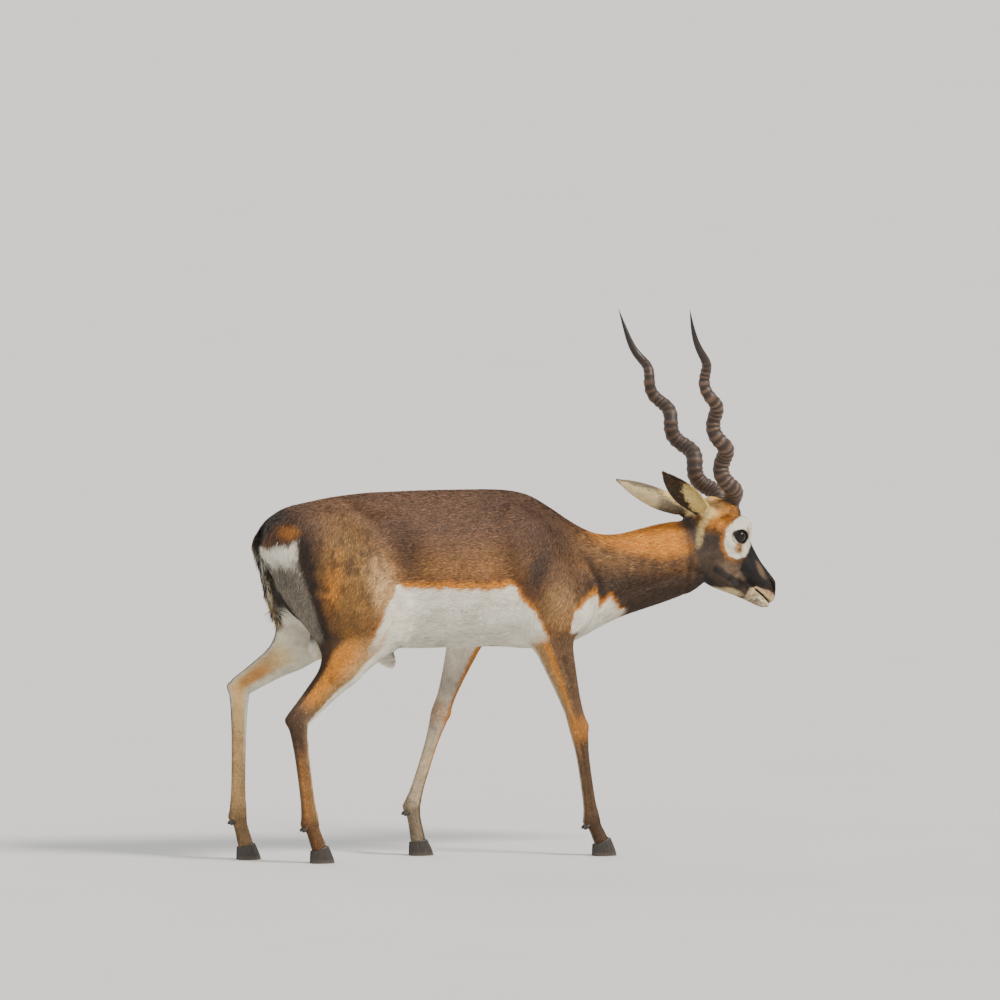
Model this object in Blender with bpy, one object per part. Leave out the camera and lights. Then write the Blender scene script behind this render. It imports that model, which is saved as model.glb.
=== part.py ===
"""A male blackbuck at a walk, life size, as a still museum model.

The animal faces +X, its left side is +Y and +Z is up. It is modelled about the ground under its
trunk, and at the end everything moves so that the origin is under the middle of its bounding box.
The flesh is one smooth body made of rounded forms, meshed once for the body and once, finer, for
the head, and parted by thin flat cuts. Horns, ears, eyes, tail and hooves are pieces of their own
that sit in sockets.
"""

import math

import bmesh
import bpy
import numpy as np
from mathutils import Matrix, Vector

# Driving sizes, in metres
GAP = 0.0003
BODY_STEP = 0.0055
HEAD_STEP = 0.0020
BODY_FRONT = 0.50
HEAD_REAR = 0.37
BODY_TRIANGLES = 5000
HEAD_TRIANGLES = 2300
SIDES = {"right": -1.0, "left": 1.0}

# The trunk and neck as upright slices: x, top, bottom, half width, and how much narrower the top is
TRUNK = [
    (-0.545, 0.688, 0.662, 0.030, 0.0),
    (-0.535, 0.705, 0.645, 0.053, 0.0),
    (-0.514, 0.733, 0.605, 0.067, 0.05),
    (-0.488, 0.749, 0.565, 0.077, 0.08),
    (-0.455, 0.763, 0.525, 0.085, 0.10),
    (-0.380, 0.783, 0.482, 0.095, 0.15),
    (-0.290, 0.791, 0.461, 0.099, 0.15),
    (-0.190, 0.794, 0.453, 0.108, 0.15),
    (-0.090, 0.794, 0.454, 0.112, 0.20),
    (0.000, 0.792, 0.452, 0.105, 0.30),
    (0.060, 0.780, 0.447, 0.095, 0.40),
    (0.110, 0.751, 0.448, 0.087, 0.35),
    (0.160, 0.717, 0.460, 0.080, 0.20),
    (0.210, 0.693, 0.484, 0.074, 0.10),
    (0.260, 0.689, 0.507, 0.066, 0.05),
    (0.310, 0.699, 0.523, 0.061, 0.05),
    (0.360, 0.710, 0.538, 0.058, 0.05),
    (0.410, 0.715, 0.556, 0.055, 0.05),
    (0.450, 0.708, 0.578, 0.050, 0.05),
    (0.485, 0.680, 0.610, 0.036, 0.0),
]

# The head has its own axes: x forward along the mouth, y left, z up, from the tip of the nose
NOSE_TIP = (0.621, 0.021, 0.560)
HEAD_PITCH = 41.0
HEAD_YAW = 8.0
HEAD_ROLL = -4.0
FACE = [
    (-0.258, 0.040, -0.020, 0.020, 0.0),
    (-0.240, 0.062, -0.045, 0.036, 0.0),
    (-0.205, 0.073, -0.055, 0.043, 0.10),
    (-0.171, 0.067, -0.055, 0.045, 0.15),
    (-0.135, 0.050, -0.050, 0.041, 0.15),
    (-0.097, 0.034, -0.044, 0.034, 0.20),
    (-0.068, 0.024, -0.038, 0.027, 0.20),
    (-0.045, 0.0190, -0.036, 0.0235, 0.15),
    (-0.027, 0.0150, -0.035, 0.0225, 0.05),
    (-0.012, 0.0070, -0.034, 0.0200, 0.0),
    (0.000, -0.0040, -0.033, 0.0160, 0.0),
    (0.008, -0.0160, -0.031, 0.0090, 0.0),
]
JAW = [
    (-0.170, -0.030, -0.085, 0.020, 0.0),
    (-0.150, -0.030, -0.093, 0.032, 0.0),
    (-0.124, -0.028, -0.091, 0.034, 0.0),
    (-0.089, -0.030, -0.080, 0.027, 0.0),
    (-0.057, -0.032, -0.069, 0.0205, 0.0),
    (-0.034, -0.033, -0.062, 0.0180, 0.0),
    (-0.015, -0.034, -0.057, 0.0170, 0.0),
    (-0.002, -0.034, -0.051, 0.0140, 0.0),
    (0.006, -0.035, -0.044, 0.0080, 0.0),
]
EYE_PLACE = (-0.1525, 0.0375, 0.0235)
EYE_RADIUS = 0.0162
EYE_LOOK = (0.14, 0.98, 0.10)
LID = 0.0022
MOUTH_LINE = -0.0345

# Horns: from the base along a leaning axis, waving round it
HORN_BASE = (0.510, 0.0335, 0.738)
HORN_TIP = (0.354, 0.195, 1.172)
HORN_RADIUS = 0.0190
HORN_SWING = 0.0105
HORN_BOW = (-0.004, 0.021, 0.0)
HORN_TURNS = 4.64
HORN_FIRST_FRONT = 0.066
HORN_RINGS = 26
HORN_RINGS_END = 0.80
HORN_SIDES = 10
HORN_ROOT = 0.016
HORN_SOCKET_END = 0.10

# Ears: base and tip of each in the world, the way its cup opens, and its sections
EARS = {
    "right": ((0.4509, -0.045, 0.7252), (0.3338, -0.100, 0.832), (-0.45, -0.75, -0.48)),
    "left": ((0.4430, 0.043, 0.7220), (0.2823, 0.090, 0.7996), (-0.45, 0.75, -0.48)),
}
EAR_THICKNESS = 0.0028
EAR_TUCK = 0.04
# share of length, half width, how far the cup wraps round in degrees
EAR_SECTIONS = [
    (-0.16, 0.010, 250),
    (0.00, 0.0130, 240),
    (0.12, 0.0180, 205),
    (0.25, 0.0245, 155),
    (0.40, 0.0295, 115),
    (0.55, 0.0290, 98),
    (0.70, 0.0235, 85),
    (0.84, 0.0145, 75),
    (0.94, 0.0055, 60),
    (1.00, 0.0015, 50),
]

# Joints of each leg as (x, z), from the top down to the coronet
HIND_JOINTS = {
    "right": [(-0.405, 0.660), (-0.288, 0.515), (-0.466, 0.311), (-0.438, 0.088), (-0.418, 0.032)],
    "left": [(-0.405, 0.660), (-0.345, 0.505), (-0.563, 0.373), (-0.567, 0.096), (-0.550, 0.032)],
}
FORE_JOINTS = {
    "right": [(0.165, 0.610), (0.086, 0.505), (0.160, 0.279), (0.190, 0.078), (0.211, 0.032)],
    "left": [(0.145, 0.615), (-0.038, 0.520), (-0.117, 0.308), (-0.182, 0.107), (-0.168, 0.032)],
}
# How far each joint stands out from the middle plane
HIND_SPREAD = [0.062, 0.082, 0.062, 0.060, 0.060]
FORE_SPREAD = [0.070, 0.072, 0.056, 0.054, 0.054]
# A leg's thickness along its bones: bone and share of it, half depth, half width
HIND_GIRTH = [
    (0.05, 0.088, 0.050),
    (0.50, 0.102, 0.050),
    (0.90, 0.080, 0.044),
    (1.15, 0.058, 0.037),
    (1.45, 0.042, 0.028),
    (1.75, 0.031, 0.020),
    (1.93, 0.0260, 0.0175),
    (2.03, 0.024, 0.0175),
    (2.15, 0.0195, 0.0155),
    (2.40, 0.0160, 0.0130),
    (2.80, 0.0155, 0.0130),
    (3.00, 0.0190, 0.0165),
    (3.35, 0.0150, 0.0145),
    (3.95, 0.0165, 0.0155),
]
FORE_GIRTH = [
    (0.10, 0.050, 0.030),
    (0.60, 0.062, 0.036),
    (1.00, 0.052, 0.034),
    (1.30, 0.040, 0.028),
    (1.65, 0.0255, 0.0205),
    (1.85, 0.0200, 0.0178),
    (2.00, 0.0208, 0.0192),
    (2.12, 0.0180, 0.0175),
    (2.35, 0.0138, 0.0130),
    (2.80, 0.0138, 0.0128),
    (3.00, 0.0180, 0.0160),
    (3.35, 0.0145, 0.0140),
    (3.95, 0.0160, 0.0150),
]

# The hamstring, from the seat bone to a place on the shin: half depth and width at both ends
SEAT_BONE = {"right": (-0.460, 0.054, 0.605), "left": (-0.470, 0.054, 0.600)}
HAMSTRING = ((0.035, 0.028), (0.021, 0.020))
HAMSTRING_END = 1.45

# Hooves: each foot has two claws
CLAW_TOE = 0.033
CLAW_HEEL = 0.019
CLAW_WIDTH = 0.0160
CLEFT = 0.0008
CORONET_DEPTH = 0.0180
CORONET_WIDTH = 0.0165
DEWCLAW_LENGTH = 0.016
DEWCLAW_RADIUS = 0.0048

# The tail, from its root to its tip: x, z, half depth and half width
TAIL_PATH = [
    (-0.492, 0.716, 0.0100, 0.0130),
    (-0.511, 0.712, 0.0115, 0.0150),
    (-0.525, 0.693, 0.0130, 0.0190),
    (-0.527, 0.663, 0.0140, 0.0220),
    (-0.526, 0.628, 0.0145, 0.0230),
    (-0.518, 0.590, 0.0130, 0.0210),
    (-0.508, 0.557, 0.0110, 0.0175),
    (-0.494, 0.528, 0.0080, 0.0115),
    (-0.481, 0.503, 0.0020, 0.0030),
]
TAIL_GROOVE = 0.006

# Planes that part the animal, as a point and a normal
NECK_FROM_TORSO = ((0.130, 0.0, 0.735), (0.913, 0.0, 0.408))
HEAD_FROM_NECK = ((0.421, 0.0, 0.645), (0.955, 0.04, 0.29))
# The cut above each leg, as y and z of a point and how steeply it rises outwards
FORE_CUT = (0.030, 0.445, 1.0)
HIND_CUT = (0.020, 0.495, 1.2)
# The line along which the front of the thigh leaves the flank, as two points of x and z
THIGH_FRONT = ((-0.30, 0.60), (-0.235, 0.470))
# Where a limb is parted: share of the way along one of its bones
FOREARM_END = 0.90
THIGH_END = 0.42
SHANK_END = 0.10

COAT_COLOURS = {
    "torso": (0.085, 0.052, 0.032),
    "neck": (0.120, 0.055, 0.026),
    "head": (0.045, 0.032, 0.026),
    "fore": (0.100, 0.060, 0.036),
    "hind": (0.190, 0.105, 0.048),
}
EAR_COLOUR = (0.400, 0.330, 0.220)
TAIL_COLOUR = (0.035, 0.022, 0.015)
HORN_COLOUR = (0.035, 0.022, 0.016)
HOOF_COLOUR = (0.020, 0.017, 0.015)
EYE_COLOUR = (0.012, 0.007, 0.004)


def clear_scene():
    for thing in list(bpy.data.objects):
        bpy.data.objects.remove(thing)


def smooth_rows(rows, per_span):
    """Rows of a table read along a Catmull-Rom curve, per_span rows for each of its spans."""
    rows = np.array(rows, float)
    ends = np.vstack([2 * rows[0] - rows[1], rows, 2 * rows[-1] - rows[-2]])
    made = []
    for i in range(1, len(ends) - 2):
        before, here, after, beyond = ends[i - 1 : i + 3]
        for t in np.arange(per_span) / per_span:
            bend = (2 * before - 5 * here + 4 * after - beyond) * t * t
            twist = (3 * here - before - 3 * after + beyond) * t**3
            made.append(here + ((after - before) * t + bend + twist) / 2)
    made.append(rows[-1])
    return np.array(made)


def oval_distance(offsets, radii):
    """About how far points are outside an ellipse or ellipsoid, from their offsets along its axes."""
    near = np.sqrt(sum((o / r) ** 2 for o, r in zip(offsets, radii))) + 1e-9
    slope = np.sqrt(sum((o / r**2) ** 2 for o, r in zip(offsets, radii))) + 1e-9
    return near * (near - 1) / slope


def slices_field(points, rows):
    """A long form made of upright oval slices: x, top, bottom, half width, narrowing upwards."""
    x, y, z = points.T
    top, bottom, half_width, narrowing = (
        np.interp(x, rows[:, 0], rows[:, i]) for i in range(1, 5)
    )
    middle, half_height = (top + bottom) / 2, (top - bottom) / 2
    height = np.clip((z - middle) / half_height, -1, 1)
    past_ends = np.maximum(rows[0, 0] - x, x - rows[-1, 0])
    across = oval_distance((y, z - middle), (half_width * (1 - narrowing * height), half_height))
    return np.maximum(across, past_ends)


def segment_field(points, start, end):
    """A tapered limb segment between two stations of x, y, z, half depth and half width."""
    axis = end[:3] - start[:3]
    length = np.linalg.norm(axis)
    axis = axis / length
    wide = np.array([0.0, 1.0, 0.0]) - axis[1] * axis
    wide /= np.linalg.norm(wide)
    deep = np.cross(axis, wide)
    offset = points - start[:3]
    share = np.clip(offset @ axis / length, 0, 1)
    girth = start[3:] + share[:, None] * (end[3:] - start[3:])
    offset = offset - (share * length)[:, None] * axis
    radii = (girth[:, 0], girth[:, 1], girth.min(axis=1))
    return oval_distance((offset @ deep, offset @ wide, offset @ axis), radii)


def chain_field(points, stations, margin=0.05):
    """A limb of segments; far from all of them it only says that it is far."""
    found = np.full(len(points), 0.1)
    for start, end in zip(stations[:-1], stations[1:]):
        reach = max(start[3:].max(), end[3:].max()) + margin
        low = np.minimum(start[:3], end[:3]) - reach
        high = np.maximum(start[:3], end[:3]) + reach
        here = np.nonzero(((points > low) & (points < high)).all(axis=1))[0]
        found[here] = np.minimum(found[here], segment_field(points[here], start, end))
    return found


def ellipsoid_field(points, centre, radii, pitch):
    """An ellipsoid whose first axis is turned up from +X by pitch degrees."""
    turn = math.radians(pitch)
    offset = points - np.array(centre)
    along = offset[:, 0] * math.cos(turn) + offset[:, 2] * math.sin(turn)
    up = offset[:, 2] * math.cos(turn) - offset[:, 0] * math.sin(turn)
    return oval_distance((along, offset[:, 1], up), radii)


class Flesh:
    """A list of rounded forms, each joined to or carved from those before it with a soft edge."""

    def __init__(self):
        self.forms = []
        self.axes = Matrix.Identity(4)

    def add(self, field, low, high, blend, carve=False):
        """field is in the current axes, and is trusted only near the box from low to high."""
        axes = np.array(self.axes)
        corners = [
            self.axes @ Vector((x, y, z))
            for x in (low[0] - blend, high[0] + blend)
            for y in (low[1] - blend, high[1] + blend)
            for z in (low[2] - blend, high[2] + blend)
        ]
        turn, place = axes[:3, :3], axes[:3, 3]
        reach = np.array([tuple(c) for c in corners])

        def in_axes(points):
            return field((points - place) @ turn)

        self.forms.append((in_axes, reach.min(axis=0), reach.max(axis=0), blend, carve))

    def slices(self, rows, blend):
        rows = smooth_rows(rows, 6)
        wide = rows[:, 3].max() * 1.4
        low = (rows[:, 0].min(), -wide, rows[:, 2].min())
        high = (rows[:, 0].max(), wide, rows[:, 1].max())
        self.add(lambda p: slices_field(p, rows), low, high, blend)

    def ellipsoid(self, centre, radii, blend, pitch=0.0, carve=False):
        centre, reach = np.array(centre), max(radii)
        field = lambda p: ellipsoid_field(p, centre, radii, pitch)
        self.add(field, centre - reach, centre + reach, blend, carve)

    def pair(self, centre, radii, blend, pitch=0.0, carve=False):
        """The same ellipsoid on both sides of the middle plane."""
        for side in SIDES.values():
            self.ellipsoid((centre[0], side * centre[1], centre[2]), radii, blend, pitch, carve)

    def chain(self, stations, blend, carve=False):
        stations = np.array(stations, float)
        reach = stations[:, 3:].max()
        low, high = stations[:, :3].min(axis=0) - reach, stations[:, :3].max(axis=0) + reach
        self.add(lambda p: chain_field(p, stations), low, high, blend, carve)

    def __call__(self, points):
        """Distance outside the flesh, exact enough near its surface."""
        found = np.full(len(points), 0.1)
        for field, low, high, blend, carve in self.forms:
            here = np.nonzero(((points > low) & (points < high)).all(axis=1))[0]
            if not len(here):
                continue
            new, old = field(points[here]), found[here]
            sign = -1.0 if carve else 1.0
            overlap = np.maximum(1 - np.abs(new - sign * old) / blend, 0)
            found[here] = sign * (np.minimum(new, sign * old) - overlap**2 * blend / 4)
        return found


def head_turn():
    """The head's yaw and roll about the tip of the nose, without its pitch."""
    yaw = Matrix.Rotation(math.radians(HEAD_YAW), 4, "Z")
    roll = Matrix.Rotation(math.radians(HEAD_ROLL), 4, "X")
    return Matrix.Translation(NOSE_TIP) @ yaw @ roll


def head_axes():
    return head_turn() @ Matrix.Rotation(math.radians(HEAD_PITCH), 4, "Y")


def horn_axes():
    """Yawed and rolled with the head, but with coordinates like those of the unturned world."""
    return head_turn() @ Matrix.Translation(-Vector((NOSE_TIP[0], 0, NOSE_TIP[2])))


def hamstring(name, side):
    """The muscle from the seat bone to the back of the shin."""
    (x0, z0), (x1, z1) = HIND_JOINTS[name][1:3]
    share = HAMSTRING_END - 1
    end = (x0 + (x1 - x0) * share, side * HIND_SPREAD[1] * 0.9, z0 + (z1 - z0) * share)
    x, y, z = SEAT_BONE[name]
    start = (x, side * y, z)
    return [(*start, *HAMSTRING[0]), (*end, *HAMSTRING[1])]


def tail_groove():
    """The hollow between the buttocks that the tail hangs in, open to the rear."""
    rows = []
    for x, z, depth, width in TAIL_PATH[2:]:
        rows.append((x - TAIL_GROOVE, 0, z, depth + 1.5 * TAIL_GROOVE, width + 0.6 * TAIL_GROOVE))
    return rows


def leg_stations(joints, spread, girth, side):
    """Stations down one leg, from its joints and the thickness table."""
    spots = np.array([(x, side * y, z) for (x, z), y in zip(joints, spread)])
    rows = []
    for place, depth, width in smooth_rows(girth, 3):
        bone = min(int(place), len(spots) - 2)
        spot = spots[bone] + (place - bone) * (spots[bone + 1] - spots[bone])
        rows.append([*spot, depth, width])
    return rows


def trunk_forms(flesh):
    flesh.slices(TRUNK, 0.02)
    # shoulder blade, upper arm, rump and the hollow in front of the haunch
    flesh.pair((0.055, 0.058, 0.650), (0.110, 0.034, 0.056), 0.05, pitch=-68)
    flesh.pair((0.085, 0.066, 0.560), (0.080, 0.034, 0.056), 0.05, pitch=-35)
    flesh.pair((-0.420, 0.050, 0.690), (0.085, 0.045, 0.065), 0.05, pitch=-15)
    flesh.pair((-0.290, 0.128, 0.640), (0.055, 0.022, 0.080), 0.06, pitch=20, carve=True)
    # sheath under the belly, and the scrotum between the thighs
    flesh.chain([(-0.268, 0, 0.462, 0.020, 0.018), (-0.240, 0, 0.424, 0.011, 0.011)], 0.03)
    flesh.chain([(-0.400, 0, 0.500, 0.022, 0.024), (-0.408, 0, 0.458, 0.020, 0.022)], 0.02)


def head_forms(flesh):
    """Skull, jaw, brows, cheeks, lips and nose, in the head's own axes."""
    flesh.axes = head_axes()
    flesh.slices(FACE, 0.02)
    flesh.slices(JAW, 0.010)
    flesh.pair((-0.125, 0.024, -0.040), (0.048, 0.017, 0.040), 0.02, pitch=12)
    x, y, z = EYE_PLACE
    flesh.pair((x - 0.004, y - 0.009, z + 0.007), (0.031, 0.020, 0.027), 0.022, pitch=20)
    flesh.pair((x - 0.010, y - 0.009, z + 0.030), (0.022, 0.012, 0.011), 0.018, pitch=15)
    flesh.pair(EYE_PLACE, [EYE_RADIUS + LID] * 3, 0.006)
    # roots of the horns and ears
    flesh.pair((-0.203, 0.033, 0.046), (0.028, 0.025, 0.026), 0.012)
    flesh.pair((-0.232, 0.036, 0.012), (0.028, 0.019, 0.024), 0.02)
    # lips, chin and the wings of the nostrils
    flesh.pair((-0.018, 0.012, -0.026), (0.022, 0.009, 0.007), 0.008)
    flesh.pair((-0.014, 0.009, -0.044), (0.020, 0.008, 0.007), 0.008)
    flesh.pair((-0.026, 0.016, 0.000), (0.014, 0.007, 0.009), 0.008, pitch=-30)
    carve_face(flesh)
    flesh.axes = Matrix.Identity(4)


def carve_face(flesh):
    x, y, z = EYE_PLACE
    look = Vector(EYE_LOOK).normalized()
    opening = Vector(EYE_PLACE) + look * (EYE_RADIUS + 0.002)
    flesh.pair(opening, (0.0210, 0.0150, 0.0135), 0.003, pitch=-20, carve=True)
    flesh.pair((x + 0.016, y + 0.003, z - 0.016), (0.008, 0.005, 0.003), 0.004, pitch=-50, carve=True)
    flesh.pair((-0.024, 0.0220, -0.003), (0.0085, 0.0055, 0.0026), 0.003, pitch=-35, carve=True)
    for side in SIDES.values():
        line = [
            (0.014, 0.0, MOUTH_LINE, 0.0016, 0.004),
            (0.004, side * 0.0130, MOUTH_LINE, 0.0016, 0.004),
            (-0.012, side * 0.0200, MOUTH_LINE, 0.0015, 0.004),
            (-0.032, side * 0.0240, MOUTH_LINE, 0.0010, 0.003),
        ]
        flesh.chain(line, 0.002, carve=True)


def build_flesh():
    flesh = Flesh()
    trunk_forms(flesh)
    for name, side in SIDES.items():
        flesh.chain(leg_stations(HIND_JOINTS[name], HIND_SPREAD, HIND_GIRTH, side), 0.035)
        flesh.chain(leg_stations(FORE_JOINTS[name], FORE_SPREAD, FORE_GIRTH, side), 0.035)
        flesh.chain(hamstring(name, side), 0.045)
    flesh.chain(tail_groove(), 0.012, carve=True)
    head_forms(flesh)
    return flesh


def clear_corners(values, rounds=8):
    """Flips the weakest corner of each grid face whose diagonal corners touch only at a point."""
    for _ in range(rounds):
        found = 0
        for i, j in ((0, 1), (0, 2), (1, 2)):
            views = []
            for a, b in ((0, 0), (1, 1), (0, 1), (1, 0)):
                spans = [slice(None)] * 3
                spans[i] = slice(a, values.shape[i] - 1 + a)
                spans[j] = slice(b, values.shape[j] - 1 + b)
                views.append(values[tuple(spans)])
            signs = [view < 0 for view in views]
            doubtful = (signs[0] == signs[1]) & (signs[2] == signs[3]) & (signs[0] != signs[2])
            if doubtful.any():
                found += doubtful.sum()
                weakest = np.argmin(np.abs(np.stack(views)), axis=0)
                for k, view in enumerate(views):
                    flip = doubtful & (weakest == k)
                    view[flip] = np.where(view[flip] < 0, 1e-5, -1e-5)
        if not found:
            break
    return values


def surface_of(field, low, high, step):
    """Points and quads of the field's zero surface, one point for each grid cell that it crosses."""
    counts = np.ceil((high - low) / step).astype(int) + 1
    axes = [low[i] + step * np.arange(counts[i]) for i in range(3)]
    grid = np.stack(np.meshgrid(*axes, indexing="ij"), axis=-1)
    values = clear_corners(field(grid.reshape(-1, 3)).reshape(counts))
    inside = values < 0
    cells = tuple(counts - 1)
    total, crossings = np.zeros((*cells, 3)), np.zeros(cells)

    def at(array, corner):
        return array[tuple(slice(c, n + c) for c, n in zip(corner, cells))]

    for i in range(3):
        for start in [(0, 0), (0, 1), (1, 0), (1, 1)]:
            a = np.insert(start, i, 0)
            b = np.insert(start, i, 1)
            crossed = at(inside, a) != at(inside, b)
            fall = np.where(crossed, at(values, a) - at(values, b), 1)
            share = np.where(crossed, at(values, a) / fall, 0)
            total += crossed[..., None] * (a + share[..., None] * (b - a))
            crossings += crossed
    active = crossings > 0
    number = np.full(cells, -1)
    number[active] = np.arange(active.sum())
    spots = np.stack(np.nonzero(active), axis=1) + total[active] / crossings[active][:, None]
    quads = []
    for i in range(3):
        j, k = (i + 1) % 3, (i + 2) % 3
        here = [slice(1, -1)] * 3
        here[i] = slice(0, counts[i] - 1)
        there = list(here)
        there[i] = slice(1, counts[i])
        for leaving in (True, False):
            crossed = (inside[tuple(here)] == leaving) & (inside[tuple(there)] != leaving)
            edge = np.stack(np.nonzero(crossed), axis=1)
            edge[:, [j, k]] += 1
            ring = []
            for back_j, back_k in ((1, 1), (0, 1), (0, 0), (1, 0)):
                cell = edge.copy()
                cell[:, j] -= back_j
                cell[:, k] -= back_k
                ring.append(number[tuple(cell.T)])
            quads.append(np.stack(ring if leaving else ring[::-1], axis=1))
    return low + spots * step, np.vstack(quads)


def settle(points, field, rounds=2, reach=0.0006):
    """Moves points onto the field's zero surface."""
    for _ in range(rounds):
        slope = np.zeros_like(points)
        for i in range(3):
            shift = np.zeros(3)
            shift[i] = reach
            slope[:, i] = (field(points + shift) - field(points - shift)) / (2 * reach)
        steepness = np.maximum((slope**2).sum(axis=1), 0.1)
        step = np.clip(field(points) / steepness, -0.002, 0.002)
        points = points - slope * step[:, None]
    return points


def new_object(name, mesh):
    made = bpy.data.objects.new(name, mesh)
    bpy.context.scene.collection.objects.link(made)
    return made


def paint(thing, colour, roughness=0.8):
    """Gives an object a material of its own, and smooth shading."""
    material = bpy.data.materials.new(thing.name)
    material.use_nodes = True
    shader = material.node_tree.nodes["Principled BSDF"]
    shader.inputs["Base Color"].default_value = (*colour, 1)
    shader.inputs["Roughness"].default_value = roughness
    shader.inputs["Metallic"].default_value = 0.0
    thing.data.materials.clear()
    thing.data.materials.append(material)
    thing.data.shade_smooth()
    thing.data.set_sharp_from_angle(angle=math.radians(50))
    return thing


def apply_modifiers(thing):
    """Replaces an object's mesh by what its modifiers make of it."""
    graph = bpy.context.evaluated_depsgraph_get()
    mesh = bpy.data.meshes.new_from_object(thing.evaluated_get(graph), depsgraph=graph)
    thing.modifiers.clear()
    thing.data = mesh
    return thing


def mesh_field(name, field, low, high, step, triangles):
    points, quads = surface_of(field, np.array(low), np.array(high), step)
    points = settle(points, field)
    mesh = bpy.data.meshes.new(name)
    mesh.from_pydata(points.tolist(), [], quads.tolist())
    mesh.update()
    made = new_object(name, mesh)
    thin = made.modifiers.new("thin", "DECIMATE")
    thin.ratio = min(1.0, triangles / (2 * len(quads)))
    return apply_modifiers(made)


def cut(thing, point, normal):
    """Keeps the part of a closed mesh that lies behind a plane, and closes the cut."""
    work = bmesh.new()
    work.from_mesh(thing.data)
    parts = work.verts[:] + work.edges[:] + work.faces[:]
    found = bmesh.ops.bisect_plane(
        work, geom=parts, dist=1e-7, plane_co=point, plane_no=normal, clear_outer=True
    )
    edges = [g for g in found["geom_cut"] if isinstance(g, bmesh.types.BMEdge)]
    bmesh.ops.holes_fill(work, edges=edges, sides=0)
    bmesh.ops.triangulate(work, faces=[f for f in work.faces if len(f.verts) > 4])
    work.to_mesh(thing.data)
    work.free()
    return thing


def keep_largest(thing):
    """Drops every closed surface of a mesh but the one with the most volume."""
    work = bmesh.new()
    work.from_mesh(thing.data)
    bmesh.ops.remove_doubles(work, verts=work.verts, dist=1e-6)
    left = set(work.faces)
    shells = []
    while left:
        shell, front = set(), {left.pop()}
        while front:
            face = front.pop()
            shell.add(face)
            near = {other for edge in face.edges for other in edge.link_faces}
            front |= near & left
            left -= near
        shells.append(shell)
    biggest = max(shells, key=lambda shell: sum(f.calc_area() for f in shell))
    spare = [f for shell in shells if shell is not biggest for f in shell]
    bmesh.ops.delete(work, geom=spare, context="FACES")
    bmesh.ops.triangulate(work, faces=work.faces[:])
    bmesh.ops.recalc_face_normals(work, faces=work.faces)
    work.to_mesh(thing.data)
    work.free()
    return thing


def duplicate(thing, name):
    return new_object(name, thing.data.copy())


def boolean(thing, tool, operation, solver="EXACT"):
    """Cuts or joins one object with another, which is used up."""
    step = thing.modifiers.new(operation, "BOOLEAN")
    step.object = tool
    step.operation = operation
    step.solver = solver
    apply_modifiers(thing)
    bpy.data.objects.remove(tool)
    return keep_largest(thing)


def region(planes, grow):
    """A convex block bounded by planes of point and outward normal, each moved out by grow."""
    mesh = bpy.data.meshes.new("region")
    work = bmesh.new()
    bmesh.ops.create_cube(work, size=2.0, matrix=Matrix.Translation((0, 0, 0.5)))
    work.to_mesh(mesh)
    work.free()
    block = new_object("region", mesh)
    for point, normal in planes:
        normal = Vector(normal).normalized()
        cut(block, Vector(point) + normal * grow, normal)
    return block


def split(thing, name, planes):
    """Takes the part of an object inside a convex block as a new object, with a gap between."""
    taken = duplicate(thing, name)
    boolean(taken, region(planes, -GAP / 2), "INTERSECT")
    boolean(thing, region(planes, GAP / 2), "DIFFERENCE")
    return taken


def part_by_plane(thing, name, point, normal):
    """Takes the part of an object in front of a plane as a new object, with a gap between."""
    normal = Vector(normal).normalized()
    taken = duplicate(thing, name)
    cut(taken, Vector(point) + normal * GAP / 2, -normal)
    cut(thing, Vector(point) - normal * GAP / 2, normal)
    keep_largest(thing)
    return keep_largest(taken)


def loft(name, rings):
    """A closed mesh through rings of points, with flat ends."""
    work = bmesh.new()
    loops = [[work.verts.new(p) for p in ring] for ring in rings]
    count = len(loops[0])
    for low, high in zip(loops[:-1], loops[1:]):
        for i in range(count):
            j = (i + 1) % count
            work.faces.new((low[i], low[j], high[j]))
            work.faces.new((low[i], high[j], high[i]))
    work.faces.new(loops[0][::-1])
    work.faces.new(loops[-1])
    bmesh.ops.recalc_face_normals(work, faces=work.faces)
    bmesh.ops.triangulate(work, faces=[f for f in work.faces if len(f.verts) > 4])
    mesh = bpy.data.meshes.new(name)
    work.to_mesh(mesh)
    work.free()
    return new_object(name, mesh)


def horn_line(share, side):
    """Centre of a horn's section, a share of the way from its base to its tip."""
    base = Vector((HORN_BASE[0], side * HORN_BASE[1], HORN_BASE[2]))
    tip = Vector((HORN_TIP[0], side * HORN_TIP[1], HORN_TIP[2]))
    axis = (tip - base).normalized()
    outward = (Vector((0, side, 0)) - axis * axis.y * side).normalized()
    forward = outward.cross(axis) * side
    turns = HORN_TURNS * (share - HORN_FIRST_FRONT) - 9.4 * max(0.0, share - 0.7) ** 2
    angle = 2 * math.pi * turns
    rise = min(1.0, max(0.0, share + 0.04) * 12)
    swing = HORN_SWING * (1 - 0.4 * share) * (1 - max(0.0, share) ** 10) * rise
    wave = forward * math.cos(angle) + outward * math.sin(angle)
    bow = Vector((HORN_BOW[0], side * HORN_BOW[1], HORN_BOW[2])) * math.sin(math.pi * share)
    return base + (tip - base) * share + wave * swing + bow


def horn_radius(share):
    return HORN_RADIUS * (1 - max(0.0, min(1.0, share)) ** 2.2) ** 0.85


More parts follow.
